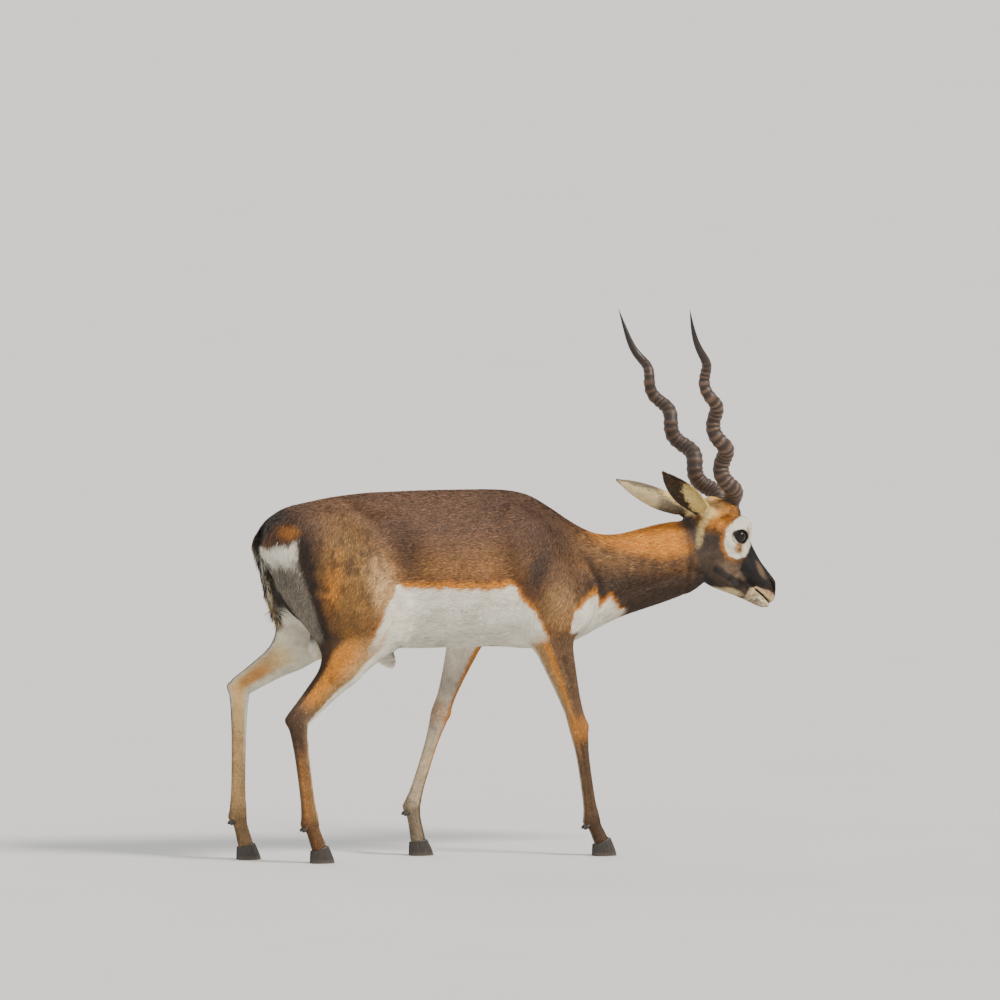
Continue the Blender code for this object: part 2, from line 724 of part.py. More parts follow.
def horn_rings(side, first, grow, last=1.0):
    """Sections of a horn from share first to last, with the ridges that ring it."""
    axes = horn_axes()
    shares = [first, first / 2] if first < 0 else [first]
    spacing = HORN_RINGS_END / HORN_RINGS
    for ring in range(HORN_RINGS):
        shares += [(ring + 0.15) * spacing, (ring + 0.55) * spacing]
    shares += [HORN_RINGS_END + (1 - HORN_RINGS_END) * k / 7 for k in range(8)]
    rings = []
    outward = None
    for place, share in enumerate(s for s in shares if s <= last):
        here = horn_line(share, side)
        along = (horn_line(share + 0.004, side) - horn_line(share - 0.004, side)).normalized()
        seed = outward or Vector((1, 0, 0))
        outward = (seed - along * seed.dot(along)).normalized()
        across = along.cross(outward)
        radius = max(horn_radius(share), 0.0007)
        if 0 < share < HORN_RINGS_END:
            fade = min(1.0, (HORN_RINGS_END - share) * 5)
            radius *= 1 + (0.05 if place % 2 else -0.06) * fade
        radius += grow
        if share == first:
            here = here - along * grow
        ring = []
        for k in range(HORN_SIDES):
            angle = 2 * math.pi * k / HORN_SIDES
            ring.append(axes @ (here + (outward * math.cos(angle) + across * math.sin(angle)) * radius))
        rings.append(ring)
    return rings


def horn_root_share():
    return -HORN_ROOT / (Vector(HORN_TIP) - Vector(HORN_BASE)).length


def ear_rings(side_name, grow=0.0):
    """Sections of an ear: an outer arc from edge to edge, then back along the inner arc."""
    base, tip, opening = (Vector(v) for v in EARS[side_name])
    axis = (tip - base).normalized()
    open_way = (opening - axis * opening.dot(axis)).normalized()
    across = axis.cross(open_way)
    arc_points = 5
    inward = Vector((0.4, -SIDES[side_name], -0.3)) * EAR_TUCK
    rings = []
    for share, half_width, wrap in smooth_rows(EAR_SECTIONS, 2):
        bend = math.radians(wrap) / 2
        radius = half_width / math.sin(min(bend, math.pi / 2))
        centre = base + axis * share * (tip - base).length + open_way * (radius * math.cos(bend))
        centre += inward * max(0.0, 0.14 - share)
        if not rings:
            centre -= axis * grow
        solid = max(0.0, min(1.0, (0.16 - share) / 0.12))
        wall = min(EAR_THICKNESS, half_width * 0.6)
        outer, inner = [], []
        for k in range(arc_points):
            turn = -1 + 2 * k / (arc_points - 1)
            way = across * math.sin(bend * turn) - open_way * math.cos(bend * turn)
            outer.append(centre + way * radius)
            inner.append(centre + way * (radius - wall * math.cos(turn * math.pi * 0.35)))
        for k in range(arc_points):
            chord = inner[0].lerp(inner[-1], k / (arc_points - 1))
            inner[k] = inner[k].lerp(chord, solid)
        rings.append(grown_ring(outer + inner[::-1], axis, grow))
    return rings


def grown_ring(ring, axis, grow):
    """A flat outline moved outwards in its own plane."""
    made = []
    count = len(ring)
    turning = sum(ring[k - 1].cross(ring[k]).dot(axis) for k in range(count))
    outwards = math.copysign(grow, turning)
    for k in range(count):
        before = (ring[k] - ring[k - 1]).cross(axis).normalized()
        after = (ring[(k + 1) % count] - ring[k]).cross(axis).normalized()
        made.append(ring[k] + (before + after) * outwards / max(1 + before.dot(after), 0.6))
    return made


def make_eye(name, side, radius):
    work = bmesh.new()
    bmesh.ops.create_icosphere(work, subdivisions=3, radius=radius)
    place = head_axes() @ Vector((EYE_PLACE[0], side * EYE_PLACE[1], EYE_PLACE[2]))
    bmesh.ops.translate(work, verts=work.verts, vec=place)
    mesh = bpy.data.meshes.new(name)
    work.to_mesh(mesh)
    work.free()
    return new_object(name, mesh)


def claw_rings(coronet, down, outer, toe_out):
    """Sections of one claw, from the ground up to the slanted coronet."""
    rings = []
    sides = 10
    for height in (0.0, 0.10, 0.55, 1.0):
        ring = []
        for k in range(sides):
            angle = 2 * math.pi * k / sides
            ahead, aside = math.cos(angle), (1 + math.sin(angle)) / 2
            pointed = 1 - 0.45 * max(0.0, ahead) ** 3
            length = CLAW_TOE if ahead > 0 else CLAW_HEEL
            foot_x = coronet.x + length * ahead
            foot_y = CLEFT + CLAW_WIDTH * aside * pointed
            top_x = coronet.x + (CORONET_DEPTH * ahead)
            top_y = CLEFT + (CORONET_WIDTH - CLEFT) * math.sqrt(aside) * math.sqrt(1 - 0.6 * ahead**2)
            top_z = coronet.z - (top_x - coronet.x) * down.x / down.z
            lean = height**1.3
            x = foot_x + (top_x - foot_x) * lean
            y = foot_y + (top_y - foot_y) * height
            y += toe_out * (foot_x - coronet.x) * (1 - height)
            z = top_z * height
            tuck = 0.0012 if height == 0.0 else 0.0
            x -= tuck * ahead
            ring.append(Vector((x, coronet.y + outer * y, z)))
        rings.append(ring)
    return rings


def feet():
    """Name, side, coronet centre and pastern direction of every foot, with its fetlock."""
    made = []
    for name, side in SIDES.items():
        for limb, joints, spread in (
            ("fore", FORE_JOINTS[name], FORE_SPREAD),
            ("hind", HIND_JOINTS[name], HIND_SPREAD),
        ):
            spots = [Vector((x, side * y, z)) for (x, z), y in zip(joints, spread)]
            down = (spots[4] - spots[3]).normalized()
            made.append((limb + "_" + name, side, spots[3], spots[4], down))
    return made


def make_hooves(legs):
    """Two claws under each foot, and two small dewclaws set into the back of each fetlock."""
    for name, side, fetlock, coronet, down in feet():
        lower = legs[name]
        cut(lower, coronet - down * GAP, down)
        keep_largest(lower)
        for place, outer in (("outer", side), ("inner", -side)):
            rings = claw_rings(coronet, down, outer, 0.04)
            paint(loft("hoof_" + name + "_" + place, rings), HOOF_COLOUR, 0.45)
            back = Vector((-0.80, outer * 0.30, -0.62)).normalized()
            root = fetlock + Vector((-0.008, outer * 0.0075, -0.010))
            socket = dewclaw(name + "_socket", root, back, GAP)
            boolean(lower, socket, "DIFFERENCE")
            claw = dewclaw("dewclaw_" + name + "_" + place, root, back, 0.0)
            paint(claw, HOOF_COLOUR, 0.5)


def dewclaw(name, root, along, grow):
    across = along.cross(Vector((0, 1, 0))).normalized()
    aside = along.cross(across)
    rings = []
    for share, size in ((0.0, 0.9), (0.6, 1.0), (1.0, 0.4)):
        centre = root + along * (share * DEWCLAW_LENGTH)
        if share == 0.0:
            centre = centre - along * grow
        radius = DEWCLAW_RADIUS * size + grow
        turns = [2 * math.pi * k / 6 for k in range(6)]
        rings.append([centre + (across * math.cos(a) + aside * math.sin(a)) * radius for a in turns])
    return loft(name, rings)


def tail_rings(grow):
    rows = smooth_rows(TAIL_PATH, 2)
    rings = []
    for i, (x, z, depth, width) in enumerate(rows):
        ahead = rows[min(i + 1, len(rows) - 1)]
        behind = rows[max(i - 1, 0)]
        along = Vector((ahead[0] - behind[0], 0, ahead[1] - behind[1])).normalized()
        across = along.cross(Vector((0, 1, 0)))
        centre = Vector((x, 0, z)) - along * (grow if i == 0 else 0)
        ring = []
        for k in range(12):
            angle = 2 * math.pi * k / 12
            spread = Vector((0, 1, 0)) * math.cos(angle) * (width + grow)
            ring.append(centre + spread + across * math.sin(angle) * (depth + grow))
        rings.append(ring)
    return rings


def leg_region(bone, side, front, rear, slope, middle):
    """Planes round the upper end of a leg: before it, behind it, above it and inside it.

    slope is where the upper plane starts, as y and z, and how steeply it rises outwards.
    """
    (top_x, top_z), (x, z) = bone
    down = Vector((x - top_x, 0, z - top_z)).normalized()
    ahead = Vector((-down.z, 0, down.x))
    at = Vector((x, 0, z))
    y, height, rise = slope
    return [
        (at + ahead * front, ahead),
        (at - ahead * rear, -ahead),
        ((0, side * y, height), (0, -side * rise, 1)),
        ((0, side * middle, 0), (0, -side, 0)),
    ]


def part_legs(body):
    """Cuts the legs from the trunk, and each into its lengths."""
    lower = {}
    for name, side in SIDES.items():
        joints = FORE_JOINTS[name]
        planes = leg_region(joints[1:3], side, 0.12, 0.075, FORE_CUT, 0.012)
        leg = split(body, "fore_upper_" + name, planes)
        lower["fore_" + name] = split_at(leg, "fore_lower_" + name, joints, 1, FOREARM_END)
        joints = HIND_JOINTS[name]
        planes = leg_region(THIGH_FRONT, side, 0.0, 0.6, HIND_CUT, 0.024)
        leg = split(body, "hind_thigh_" + name, planes)
        shank = split_at(leg, "hind_shank_" + name, joints, 1, THIGH_END)
        lower["hind_" + name] = split_at(shank, "hind_lower_" + name, joints, 2, SHANK_END)
    return lower


def split_at(thing, name, joints, bone, share):
    """Parts a limb by a plane square to one of its bones."""
    (x0, z0), (x1, z1) = joints[bone], joints[bone + 1]
    point = Vector((x0 + (x1 - x0) * share, 0, z0 + (z1 - z0) * share))
    return part_by_plane(thing, name, point, (x1 - x0, 0, z1 - z0))


def make_flesh():
    """Torso, neck and head, meshed from the one flesh and parted from each other."""
    flesh = build_flesh()
    body = mesh_field(
        "torso", lambda p: np.maximum(flesh(p), p[:, 0] - BODY_FRONT),
        (-0.62, -0.16, -0.02), (BODY_FRONT + 0.02, 0.16, 0.84), BODY_STEP, BODY_TRIANGLES,
    )
    head = mesh_field(
        "head", lambda p: np.maximum(flesh(p), HEAD_REAR - p[:, 0]),
        (HEAD_REAR - 0.01, -0.09, 0.47), (0.66, 0.12, 0.82), HEAD_STEP, HEAD_TRIANGLES,
    )
    point, normal = (Vector(v) for v in HEAD_FROM_NECK)
    normal.normalize()
    cut(head, point + normal * GAP / 2, -normal)
    cut(body, point - normal * GAP / 2, normal)
    keep_largest(head)
    keep_largest(body)
    neck = part_by_plane(body, "neck", *NECK_FROM_TORSO)
    return body, neck, head


def make_head_pieces(head):
    """Horns, ears and eyes, each in a socket a little larger than itself."""
    for name, side in SIDES.items():
        root = horn_root_share()
        boolean(head, loft("socket", horn_rings(side, root, GAP, HORN_SOCKET_END)), "DIFFERENCE")
        paint(loft("horn_" + name, horn_rings(side, root, 0.0)), HORN_COLOUR, 0.6)
        boolean(head, loft("socket", ear_rings(name, GAP)), "DIFFERENCE")
        paint(loft("ear_" + name, ear_rings(name)), EAR_COLOUR)
        boolean(head, make_eye("socket", side, EYE_RADIUS + GAP), "DIFFERENCE")
        paint(make_eye("eye_" + name, side, EYE_RADIUS), EYE_COLOUR, 0.05)


def paint_coat():
    for thing in bpy.data.objects:
        colour = COAT_COLOURS.get(thing.name.split("_")[0])
        if colour:
            paint(thing, colour)


def stand_at_origin():
    """Moves everything so that the origin is under the middle of the whole, at floor level."""
    points = np.array([v.co for thing in bpy.data.objects for v in thing.data.vertices])
    low, high = points.min(axis=0), points.max(axis=0)
    shift = Matrix.Translation((-(low[0] + high[0]) / 2, -(low[1] + high[1]) / 2, -low[2]))
    for thing in bpy.data.objects:
        thing.data.transform(shift)


def main():
    clear_scene()
    body, neck, head = make_flesh()
    legs = part_legs(body)
    make_head_pieces(head)
    boolean(body, loft("socket", tail_rings(GAP)), "DIFFERENCE")
    paint(loft("tail", tail_rings(0.0)), TAIL_COLOUR)
    make_hooves(legs)
    paint_coat()
    stand_at_origin()


main()
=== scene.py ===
"""The looks of a walking blackbuck: skin, coat, head, horns, eyes, hooves and the studio round it.

The sizes repeat those of the solids. Everything is shaped in the solids' working metres, where the
ground is z = 0 and x = 0 is under the trunk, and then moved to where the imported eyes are.
"""

import math

import bpy
import numpy as np
from mathutils import Matrix, Vector


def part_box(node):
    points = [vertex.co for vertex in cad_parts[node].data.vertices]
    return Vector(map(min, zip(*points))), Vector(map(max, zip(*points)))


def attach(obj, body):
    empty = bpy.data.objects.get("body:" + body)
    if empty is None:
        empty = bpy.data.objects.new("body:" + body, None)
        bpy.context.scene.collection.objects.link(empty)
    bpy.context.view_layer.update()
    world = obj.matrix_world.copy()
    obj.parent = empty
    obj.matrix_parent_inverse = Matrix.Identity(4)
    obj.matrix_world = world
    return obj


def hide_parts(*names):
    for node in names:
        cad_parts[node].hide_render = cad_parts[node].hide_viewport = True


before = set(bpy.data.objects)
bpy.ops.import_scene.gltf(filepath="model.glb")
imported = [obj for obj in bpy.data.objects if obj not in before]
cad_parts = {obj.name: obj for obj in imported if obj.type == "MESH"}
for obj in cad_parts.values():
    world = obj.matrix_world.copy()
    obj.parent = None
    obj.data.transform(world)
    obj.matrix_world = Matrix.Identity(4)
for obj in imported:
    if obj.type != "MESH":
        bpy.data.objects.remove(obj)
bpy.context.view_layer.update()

# Driving sizes, in metres
BODY_STEP = 0.0042
HEAD_STEP = 0.0014
# How many grid steps wide the blocks are that are tried first
BLOCK = 4
# The corners of a cell of a grid
CORNERS = [(a, b, c) for a in (0, 1) for b in (0, 1) for c in (0, 1)]
SIDES = {"right": -1.0, "left": 1.0}

# The trunk and neck as upright slices: x, top, bottom, half width, and how much narrower the top is
TRUNK = [
    (-0.545, 0.688, 0.662, 0.030, 0.0),
    (-0.535, 0.705, 0.645, 0.053, 0.0),
    (-0.514, 0.733, 0.605, 0.067, 0.05),
    (-0.488, 0.749, 0.565, 0.077, 0.08),
    (-0.455, 0.763, 0.525, 0.085, 0.10),
    (-0.380, 0.783, 0.482, 0.095, 0.15),
    (-0.290, 0.791, 0.461, 0.099, 0.15),
    (-0.190, 0.794, 0.453, 0.108, 0.15),
    (-0.090, 0.794, 0.454, 0.112, 0.20),
    (0.000, 0.792, 0.452, 0.105, 0.30),
    (0.060, 0.780, 0.447, 0.095, 0.40),
    (0.110, 0.751, 0.448, 0.087, 0.35),
    (0.160, 0.717, 0.460, 0.080, 0.20),
    (0.210, 0.693, 0.484, 0.074, 0.10),
    (0.260, 0.689, 0.507, 0.066, 0.05),
    (0.310, 0.699, 0.523, 0.061, 0.05),
    (0.360, 0.710, 0.538, 0.058, 0.05),
    (0.410, 0.715, 0.556, 0.055, 0.05),
    (0.450, 0.708, 0.578, 0.050, 0.05),
    (0.485, 0.680, 0.610, 0.036, 0.0),
]

# The head has its own axes: x forward along the mouth, y left, z up, from the tip of the nose
NOSE_TIP = (0.621, 0.021, 0.560)
HEAD_PITCH = 41.0
HEAD_YAW = 8.0
HEAD_ROLL = -4.0
FACE = [
    (-0.258, 0.040, -0.020, 0.020, 0.0),
    (-0.240, 0.062, -0.045, 0.036, 0.0),
    (-0.205, 0.073, -0.055, 0.043, 0.10),
    (-0.171, 0.067, -0.055, 0.045, 0.15),
    (-0.135, 0.050, -0.050, 0.041, 0.15),
    (-0.097, 0.034, -0.044, 0.034, 0.20),
    (-0.068, 0.024, -0.038, 0.027, 0.20),
    (-0.045, 0.0190, -0.036, 0.0235, 0.15),
    (-0.027, 0.0150, -0.035, 0.0225, 0.05),
    (-0.012, 0.0070, -0.034, 0.0200, 0.0),
    (0.000, -0.0040, -0.033, 0.0160, 0.0),
    (0.008, -0.0160, -0.031, 0.0090, 0.0),
]
JAW = [
    (-0.170, -0.030, -0.085, 0.020, 0.0),
    (-0.150, -0.030, -0.093, 0.032, 0.0),
    (-0.124, -0.028, -0.091, 0.034, 0.0),
    (-0.089, -0.030, -0.080, 0.027, 0.0),
    (-0.057, -0.032, -0.069, 0.0205, 0.0),
    (-0.034, -0.033, -0.062, 0.0180, 0.0),
    (-0.015, -0.034, -0.057, 0.0170, 0.0),
    (-0.002, -0.034, -0.051, 0.0140, 0.0),
    (0.006, -0.035, -0.044, 0.0080, 0.0),
]
MOUTH_LINE = -0.0345

# The left eye in the head's axes: its centre, its radius, the way it looks and the thickness of its lid
EYE_PLACE = (-0.1525, 0.0375, 0.0235)
EYE_RADIUS = 0.0162
EYE_LOOK = (0.14, 0.98, 0.10)
LID = 0.0022
# Its opening: tilt in degrees, half width and height, and how far the rims stand out from the ball
EYE_TILT = 24.0
EYE_OPENING = (0.0141, 0.0128)
LID_STAND = 0.0006
# Folds round the opening: how far outside it, from which degree to which, and radius
LID_FOLDS = [(0.0052, 25, 165, 0.0010), (0.0085, 45, 150, 0.0010), (0.0062, 205, 330, 0.0005)]
# Half width and height of the dark round the eye, and how that is slanted
EYE_DARK = (0.0208, 0.0160)
EYE_SLANT = math.radians(42)
# Sections of the ball, points round each, and how far it lies inside the solid
EYE_RINGS = 40
EYE_SIDES = 48
EYE_IN = 0.0002

# Horns: from the base along a leaning axis, waving round it
HORN_BASE = (0.510, 0.0335, 0.738)
HORN_TIP = (0.354, 0.195, 1.172)
HORN_RADIUS = 0.0190
HORN_SWING = 0.0105
HORN_BOW = (-0.004, 0.021, 0.0)
# Turns of the wave, where it first comes to the front, and how it slows near the tip
HORN_TURNS = 4.64
HORN_FIRST_FRONT = 0.066
HORN_SLOWING = 9.4
# Rings on the whole length, how many more near the base, and the share of the length where they end
HORN_RINGS = 34
HORN_BASE_RINGS = 5.7
HORN_RINGS_END = 0.80
HORN_ROOT = 0.016
# Points round a horn, sections to a ring and on the smooth tip, and how far it lies inside the solid
HORN_SIDES = 28
HORN_SPANS = 8
HORN_TIP_SPANS = 26
HORN_SKIN = 0.0004

# Ears: base and tip of each, and the way its cup opens
EARS = {
    "right": ((0.4509, -0.045, 0.7252), (0.3338, -0.100, 0.832), (-0.45, -0.75, -0.48)),
    "left": ((0.4430, 0.043, 0.7220), (0.2823, 0.090, 0.7996), (-0.45, 0.75, -0.48)),
}
EAR_THICKNESS = 0.0026
# How much the root of an ear leans in towards the head
EAR_TUCK = 0.04
# Sections of an ear: share of its length, half width, and how far the cup wraps round in degrees
EAR_SECTIONS = [
    (-0.16, 0.010, 250),
    (0.00, 0.0130, 240),
    (0.12, 0.0180, 205),
    (0.25, 0.0245, 155),
    (0.40, 0.0295, 115),
    (0.55, 0.0290, 98),
    (0.70, 0.0235, 85),
    (0.84, 0.0145, 75),
    (0.94, 0.0055, 60),
    (1.00, 0.0015, 50),
]

# Joints of each leg as (x, z), from the top down to the coronet
HIND_JOINTS = {
    "right": [(-0.405, 0.660), (-0.288, 0.515), (-0.466, 0.311), (-0.438, 0.088), (-0.418, 0.032)],
    "left": [(-0.405, 0.660), (-0.345, 0.505), (-0.563, 0.373), (-0.567, 0.096), (-0.550, 0.032)],
}
FORE_JOINTS = {
    "right": [(0.165, 0.610), (0.086, 0.505), (0.160, 0.279), (0.190, 0.078), (0.211, 0.032)],
    "left": [(0.145, 0.615), (-0.038, 0.520), (-0.117, 0.308), (-0.182, 0.107), (-0.168, 0.032)],
}
# How far each joint stands out from the middle plane
HIND_SPREAD = [0.062, 0.082, 0.062, 0.060, 0.060]
FORE_SPREAD = [0.070, 0.072, 0.056, 0.054, 0.054]
# A leg's thickness along its bones: bone and share of it, half depth, half width
HIND_GIRTH = [
    (0.05, 0.088, 0.050),
    (0.50, 0.102, 0.050),
    (0.90, 0.080, 0.044),
    (1.15, 0.058, 0.037),
    (1.45, 0.042, 0.028),
    (1.75, 0.031, 0.020),
    (1.93, 0.0260, 0.0175),
    (2.03, 0.024, 0.0175),
    (2.15, 0.0195, 0.0155),
    (2.40, 0.0160, 0.0130),
    (2.80, 0.0155, 0.0130),
    (3.00, 0.0190, 0.0165),
    (3.35, 0.0150, 0.0145),
    (3.95, 0.0165, 0.0155),
]
FORE_GIRTH = [
    (0.10, 0.050, 0.030),
    (0.60, 0.062, 0.036),
    (1.00, 0.052, 0.034),
    (1.30, 0.040, 0.028),
    (1.65, 0.0255, 0.0205),
    (1.85, 0.0200, 0.0178),
    (2.00, 0.0208, 0.0192),
    (2.12, 0.0180, 0.0175),
    (2.35, 0.0138, 0.0130),
    (2.80, 0.0138, 0.0128),
    (3.00, 0.0180, 0.0160),
    (3.35, 0.0145, 0.0140),
    (3.95, 0.0160, 0.0150),
]
# The hamstring, from the seat bone to a place on the shin: half depth and width at both ends
SEAT_BONE = {"right": (-0.460, 0.054, 0.605), "left": (-0.470, 0.054, 0.600)}
HAMSTRING = ((0.035, 0.028), (0.021, 0.020))
HAMSTRING_END = 1.45
# Grooves and knobs of a leg. First how far out the grooves lie; then the bone and share of it where each
# starts and ends, with metres in front of the bone, and its radius; then the same for the place of each knob
LEG_RELIEF = {
    "hind": (
        0.0215,
        [((1.62, -0.004), (1.95, -0.011), 0.0035), ((2.2, -0.007), (2.9, -0.007), 0.0016)],
        [(2.0, -0.018, 0.0085), (1.02, 0.040, 0.012), (3.0, -0.012, 0.007)],
    ),
    "fore": (
        0.0200,
        [((2.2, -0.006), (2.9, -0.006), 0.0015), ((1.35, 0.006), (1.8, 0.003), 0.0022)],
        [(2.0, 0.010, 0.008), (1.02, -0.036, 0.011), (3.0, -0.010, 0.007)],
    ),
}

# Hooves: each foot has two claws
CLAW_TOE = 0.033
CLAW_HEEL = 0.019
CLAW_WIDTH = 0.0160
CLEFT = 0.0008
CORONET_DEPTH = 0.0180
CORONET_WIDTH = 0.0165
DEWCLAW_LENGTH = 0.016
DEWCLAW_RADIUS = 0.0048
CLAW_SIDES = 28
DEWCLAW_SIDES = 14
# Heights of a claw's sections, as a share of the way from the ground to the coronet
CLAW_HEIGHTS = (0.0, 0.02, 0.05, 0.12, 0.25, 0.40, 0.55, 0.70, 0.85, 0.95, 1.0)

# The tail with its hair, from root to tip: x, z, half depth and half width
TAIL_PATH = [
    (-0.492, 0.716, 0.0100, 0.0130),
    (-0.511, 0.712, 0.0115, 0.0150),
    (-0.525, 0.693, 0.0130, 0.0190),
    (-0.527, 0.663, 0.0140, 0.0220),
    (-0.526, 0.628, 0.0145, 0.0230),
    (-0.518, 0.590, 0.0130, 0.0210),
    (-0.508, 0.557, 0.0110, 0.0175),
    (-0.494, 0.528, 0.0080, 0.0115),
    (-0.481, 0.503, 0.0020, 0.0030),
]
TAIL_GROOVE = 0.006
# How thick the flesh in the tail is, as a share of the tail with its hair
TAIL_CORE = 0.55

# Where the fine head ends: x of the neck, z above the nape, and the ears' roots beside it
HEAD_REAR = 0.415
EARS_FROM = 0.724
EARS_END = 0.268
EARS_FROM_SIDE = (0.042, 0.700)
# How far the two meshes of the skin overlap there, and how deep the body's end is sunk
OVERLAP = 0.008
SEAM_SINK = 0.0004
BODY_BOX = ((-0.63, -0.16, 0.02), (0.45, 0.16, 0.85), BODY_STEP)
HEAD_BOX = ((0.26, -0.135, 0.46), (0.67, 0.135, 0.86), HEAD_STEP)

# Colours of the coat, as linear light
WHITE = (0.82, 0.765, 0.635)
CREAM = (0.66, 0.51, 0.275)
# white in painted shade, for the lower rear of the rump
SHADED_WHITE = (0.17, 0.145, 0.110)
BACK = (0.132, 0.065, 0.035)
FLANK = (0.255, 0.118, 0.038)
LOW_FLANK = (0.185, 0.074, 0.020)
ORANGE = (0.66, 0.235, 0.022)
GOLD = (0.255, 0.128, 0.033)
BEIGE = (0.56, 0.345, 0.155)
TAN = (0.44, 0.25, 0.100)
DARK = (0.020, 0.011, 0.007)
SHOULDER = (0.052, 0.025, 0.012)
NECK = (0.195, 0.090, 0.030)
LOW_NECK = (0.052, 0.029, 0.016)
FACE_DARK = (0.012, 0.009, 0.0095)
CHEEK = (0.055, 0.034, 0.021)
GREY_BROWN = (0.165, 0.104, 0.062)
LEG_BROWN = (0.205, 0.112, 0.050)
PALE_YELLOW = (0.92, 0.68, 0.27)
PINK = (0.50, 0.31, 0.165)
CHIN = (0.46, 0.37, 0.24)
EAR_GREY = (0.20, 0.155, 0.095)
# near black of the nostrils' openings, painted shade
NOSTRIL_SHADE = (0.006, 0.004, 0.004)

# Ovals on the trunk in the side view: colour, centre, radii, turn in degrees, softness and strength
TRUNK_SPOTS = [
    # shoulder, elbow and the hollows before and behind them; the dark in the hollow behind the shoulder is
    # painted shade
    (SHOULDER, (0.110, 0.640), (0.105, 0.110), 10, 0.55, 0.70),
    (SHOULDER, (0.040, 0.770), (0.110, 0.035), 0, 0.6, 0.45),
    (DARK, (0.062, 0.630), (0.018, 0.045), -25, 0.7, 0.75),
    (TAN, (0.112, 0.548), (0.040, 0.050), 0, 0.7, 0.55),
    # haunch, with the hollow of the flank before it, darkened as painted shade
    (GOLD, (-0.375, 0.610), (0.085, 0.130), -8, 0.6, 0.85),
    (ORANGE, (-0.405, 0.590), (0.020, 0.070), -12, 0.8, 0.55),
    (BEIGE, (-0.282, 0.600), (0.030, 0.060), 15, 0.8, 0.85),
    (SHOULDER, (-0.222, 0.668), (0.026, 0.062), 14, 0.8, 0.75),
    (SHOULDER, (-0.455, 0.725), (0.030, 0.030), 40, 0.8, 0.55),
]
# The same on the head, in its own axes: the pale hair before the ear, and the cheek
CHEEK_SPOTS = [
    (PALE_YELLOW, (-0.252, 0.016), (0.026, 0.014), 20, 0.6, 0.95),
    (PALE_YELLOW, (-0.248, 0.048), (0.026, 0.026), 0, 0.7, 0.5),
    (GREY_BROWN, (-0.118, -0.044), (0.034, 0.015), 10, 0.6, 0.8),
]

# The upper edge of the white of belly and chest, as x and z
BELLY_EDGE = [
    (-0.330, 0.420), (-0.299, 0.495), (-0.262, 0.545), (-0.246, 0.580), (-0.237, 0.592), (-0.141, 0.591),
    (-0.029, 0.587), (0.012, 0.595), (0.028, 0.565), (0.056, 0.534), (0.072, 0.503), (0.091, 0.456),
    (0.105, 0.400), (0.125, 0.400), (0.134, 0.500), (0.140, 0.540), (0.170, 0.557), (0.196, 0.577),
    (0.205, 0.546), (0.222, 0.552), (0.240, 0.562), (0.258, 0.537), (0.285, 0.505),
]
# The white strip down the front of the thigh, and the dark band down the rear of the haunch
THIGH_STRIP = [(-0.245, 0.590), (-0.266, 0.548), (-0.294, 0.497), (-0.318, 0.440)]
HAUNCH_REAR = [
    (-0.464, 0.700), (-0.456, 0.662), (-0.445, 0.578), (-0.422, 0.520), (-0.400, 0.468), (-0.410, 0.430),
]
# Where the neck meets the shoulder, as x and z: a dark line there is painted shade in its hollow
NECK_HOLLOW_SHADE = [(0.192, 0.640), (0.208, 0.585)]
# The lower edge of the red nape, as x and z
NAPE_EDGE = [
    (0.10, 0.735), (0.225, 0.669), (0.292, 0.656), (0.358, 0.644), (0.411, 0.653), (0.439, 0.669),
    (0.47, 0.69),
]
# How far the white round the eye reaches, by degrees from straight ahead
RING_CENTRE = (-0.148, 0.026)
RING_EDGE = [
    (-180, 0.037), (-168, 0.039), (-146, 0.038), (-122, 0.0436), (-97, 0.049), (-82, 0.0500),
    (-62, 0.049), (-42, 0.046), (-12, 0.040), (15, 0.035), (50, 0.038), (75, 0.041), (96, 0.043),
    (119, 0.046), (148, 0.041), (164, 0.034), (180, 0.037),
]
# Where the dark of the nose ends below, from behind the eye to the nose, in the head's axes
DARK_EDGE = [
    (-0.120, 0.010), (-0.112, -0.012), (-0.102, -0.030), (-0.073, -0.036), (-0.053, -0.037),
    (-0.045, -0.028), (-0.029, -0.021), (-0.011, -0.015), (0.010, -0.018),
]
# Lines on the side of the head, in the head's axes
CROWN_STREAK = [(-0.205, 0.062), (-0.204, 0.036), (-0.213, 0.012), (-0.206, -0.008)]
CHEEK_STREAK = [(-0.237, 0.006), (-0.231, -0.014), (-0.223, -0.030), (-0.216, -0.052)]
JAW_STREAK = [(-0.150, -0.062), (-0.125, -0.060), (-0.099, -0.055), (-0.060, -0.044)]
MOUTH_CORNER = [(-0.066, -0.050), (-0.056, -0.058), (-0.050, -0.070)]
BROW_MARK = [(-0.138, 0.036), (-0.146, 0.050)]
GLAND_SLIT = [(-0.140, 0.009), (-0.131, 0.001)]
GLAND_BARE = [(-0.136, 0.008), (-0.124, -0.001)]
NOSTRIL = [(-0.030, 0.000), (-0.021, -0.001), (-0.0125, -0.0055), (-0.0065, -0.011)]
# How high up the inside of an ear its pale hair begins: shares of its length, then heights in half widths
EAR_PALE_EDGE = ((0.0, 0.2, 0.5, 0.75, 1.0), (-0.5, -0.2, 0.25, 0.8, 1.5))
# Cells along each side of the grid of random values that noise repeats
NOISE_GRID = 32

# Looks of horns, hooves, eyes and studio
HORN_DARK = (0.034, 0.019, 0.012, 1)
# the paler colour that the crests of the horns' rings take, a painted highlight
HORN_PALE = (0.150, 0.084, 0.050, 1)
HORN_TIP_DARK = (0.012, 0.010, 0.009, 1)
HOOF_DARK = (0.014, 0.011, 0.009, 1)
HOOF_PALE = (0.050, 0.038, 0.028, 1)
DUST = (0.13, 0.10, 0.075, 1)
PUPIL = (0.0015, 0.0013, 0.0015, 1)
IRIS_DARK = (0.004, 0.0022, 0.0014, 1)
IRIS_PALE = (0.017, 0.009, 0.0045, 1)
IRIS_RIM = (0.004, 0.003, 0.0025, 1)
FLOOR_GREY = (0.60, 0.595, 0.58, 1)
FLOOR_PALE = (0.64, 0.635, 0.62, 1)

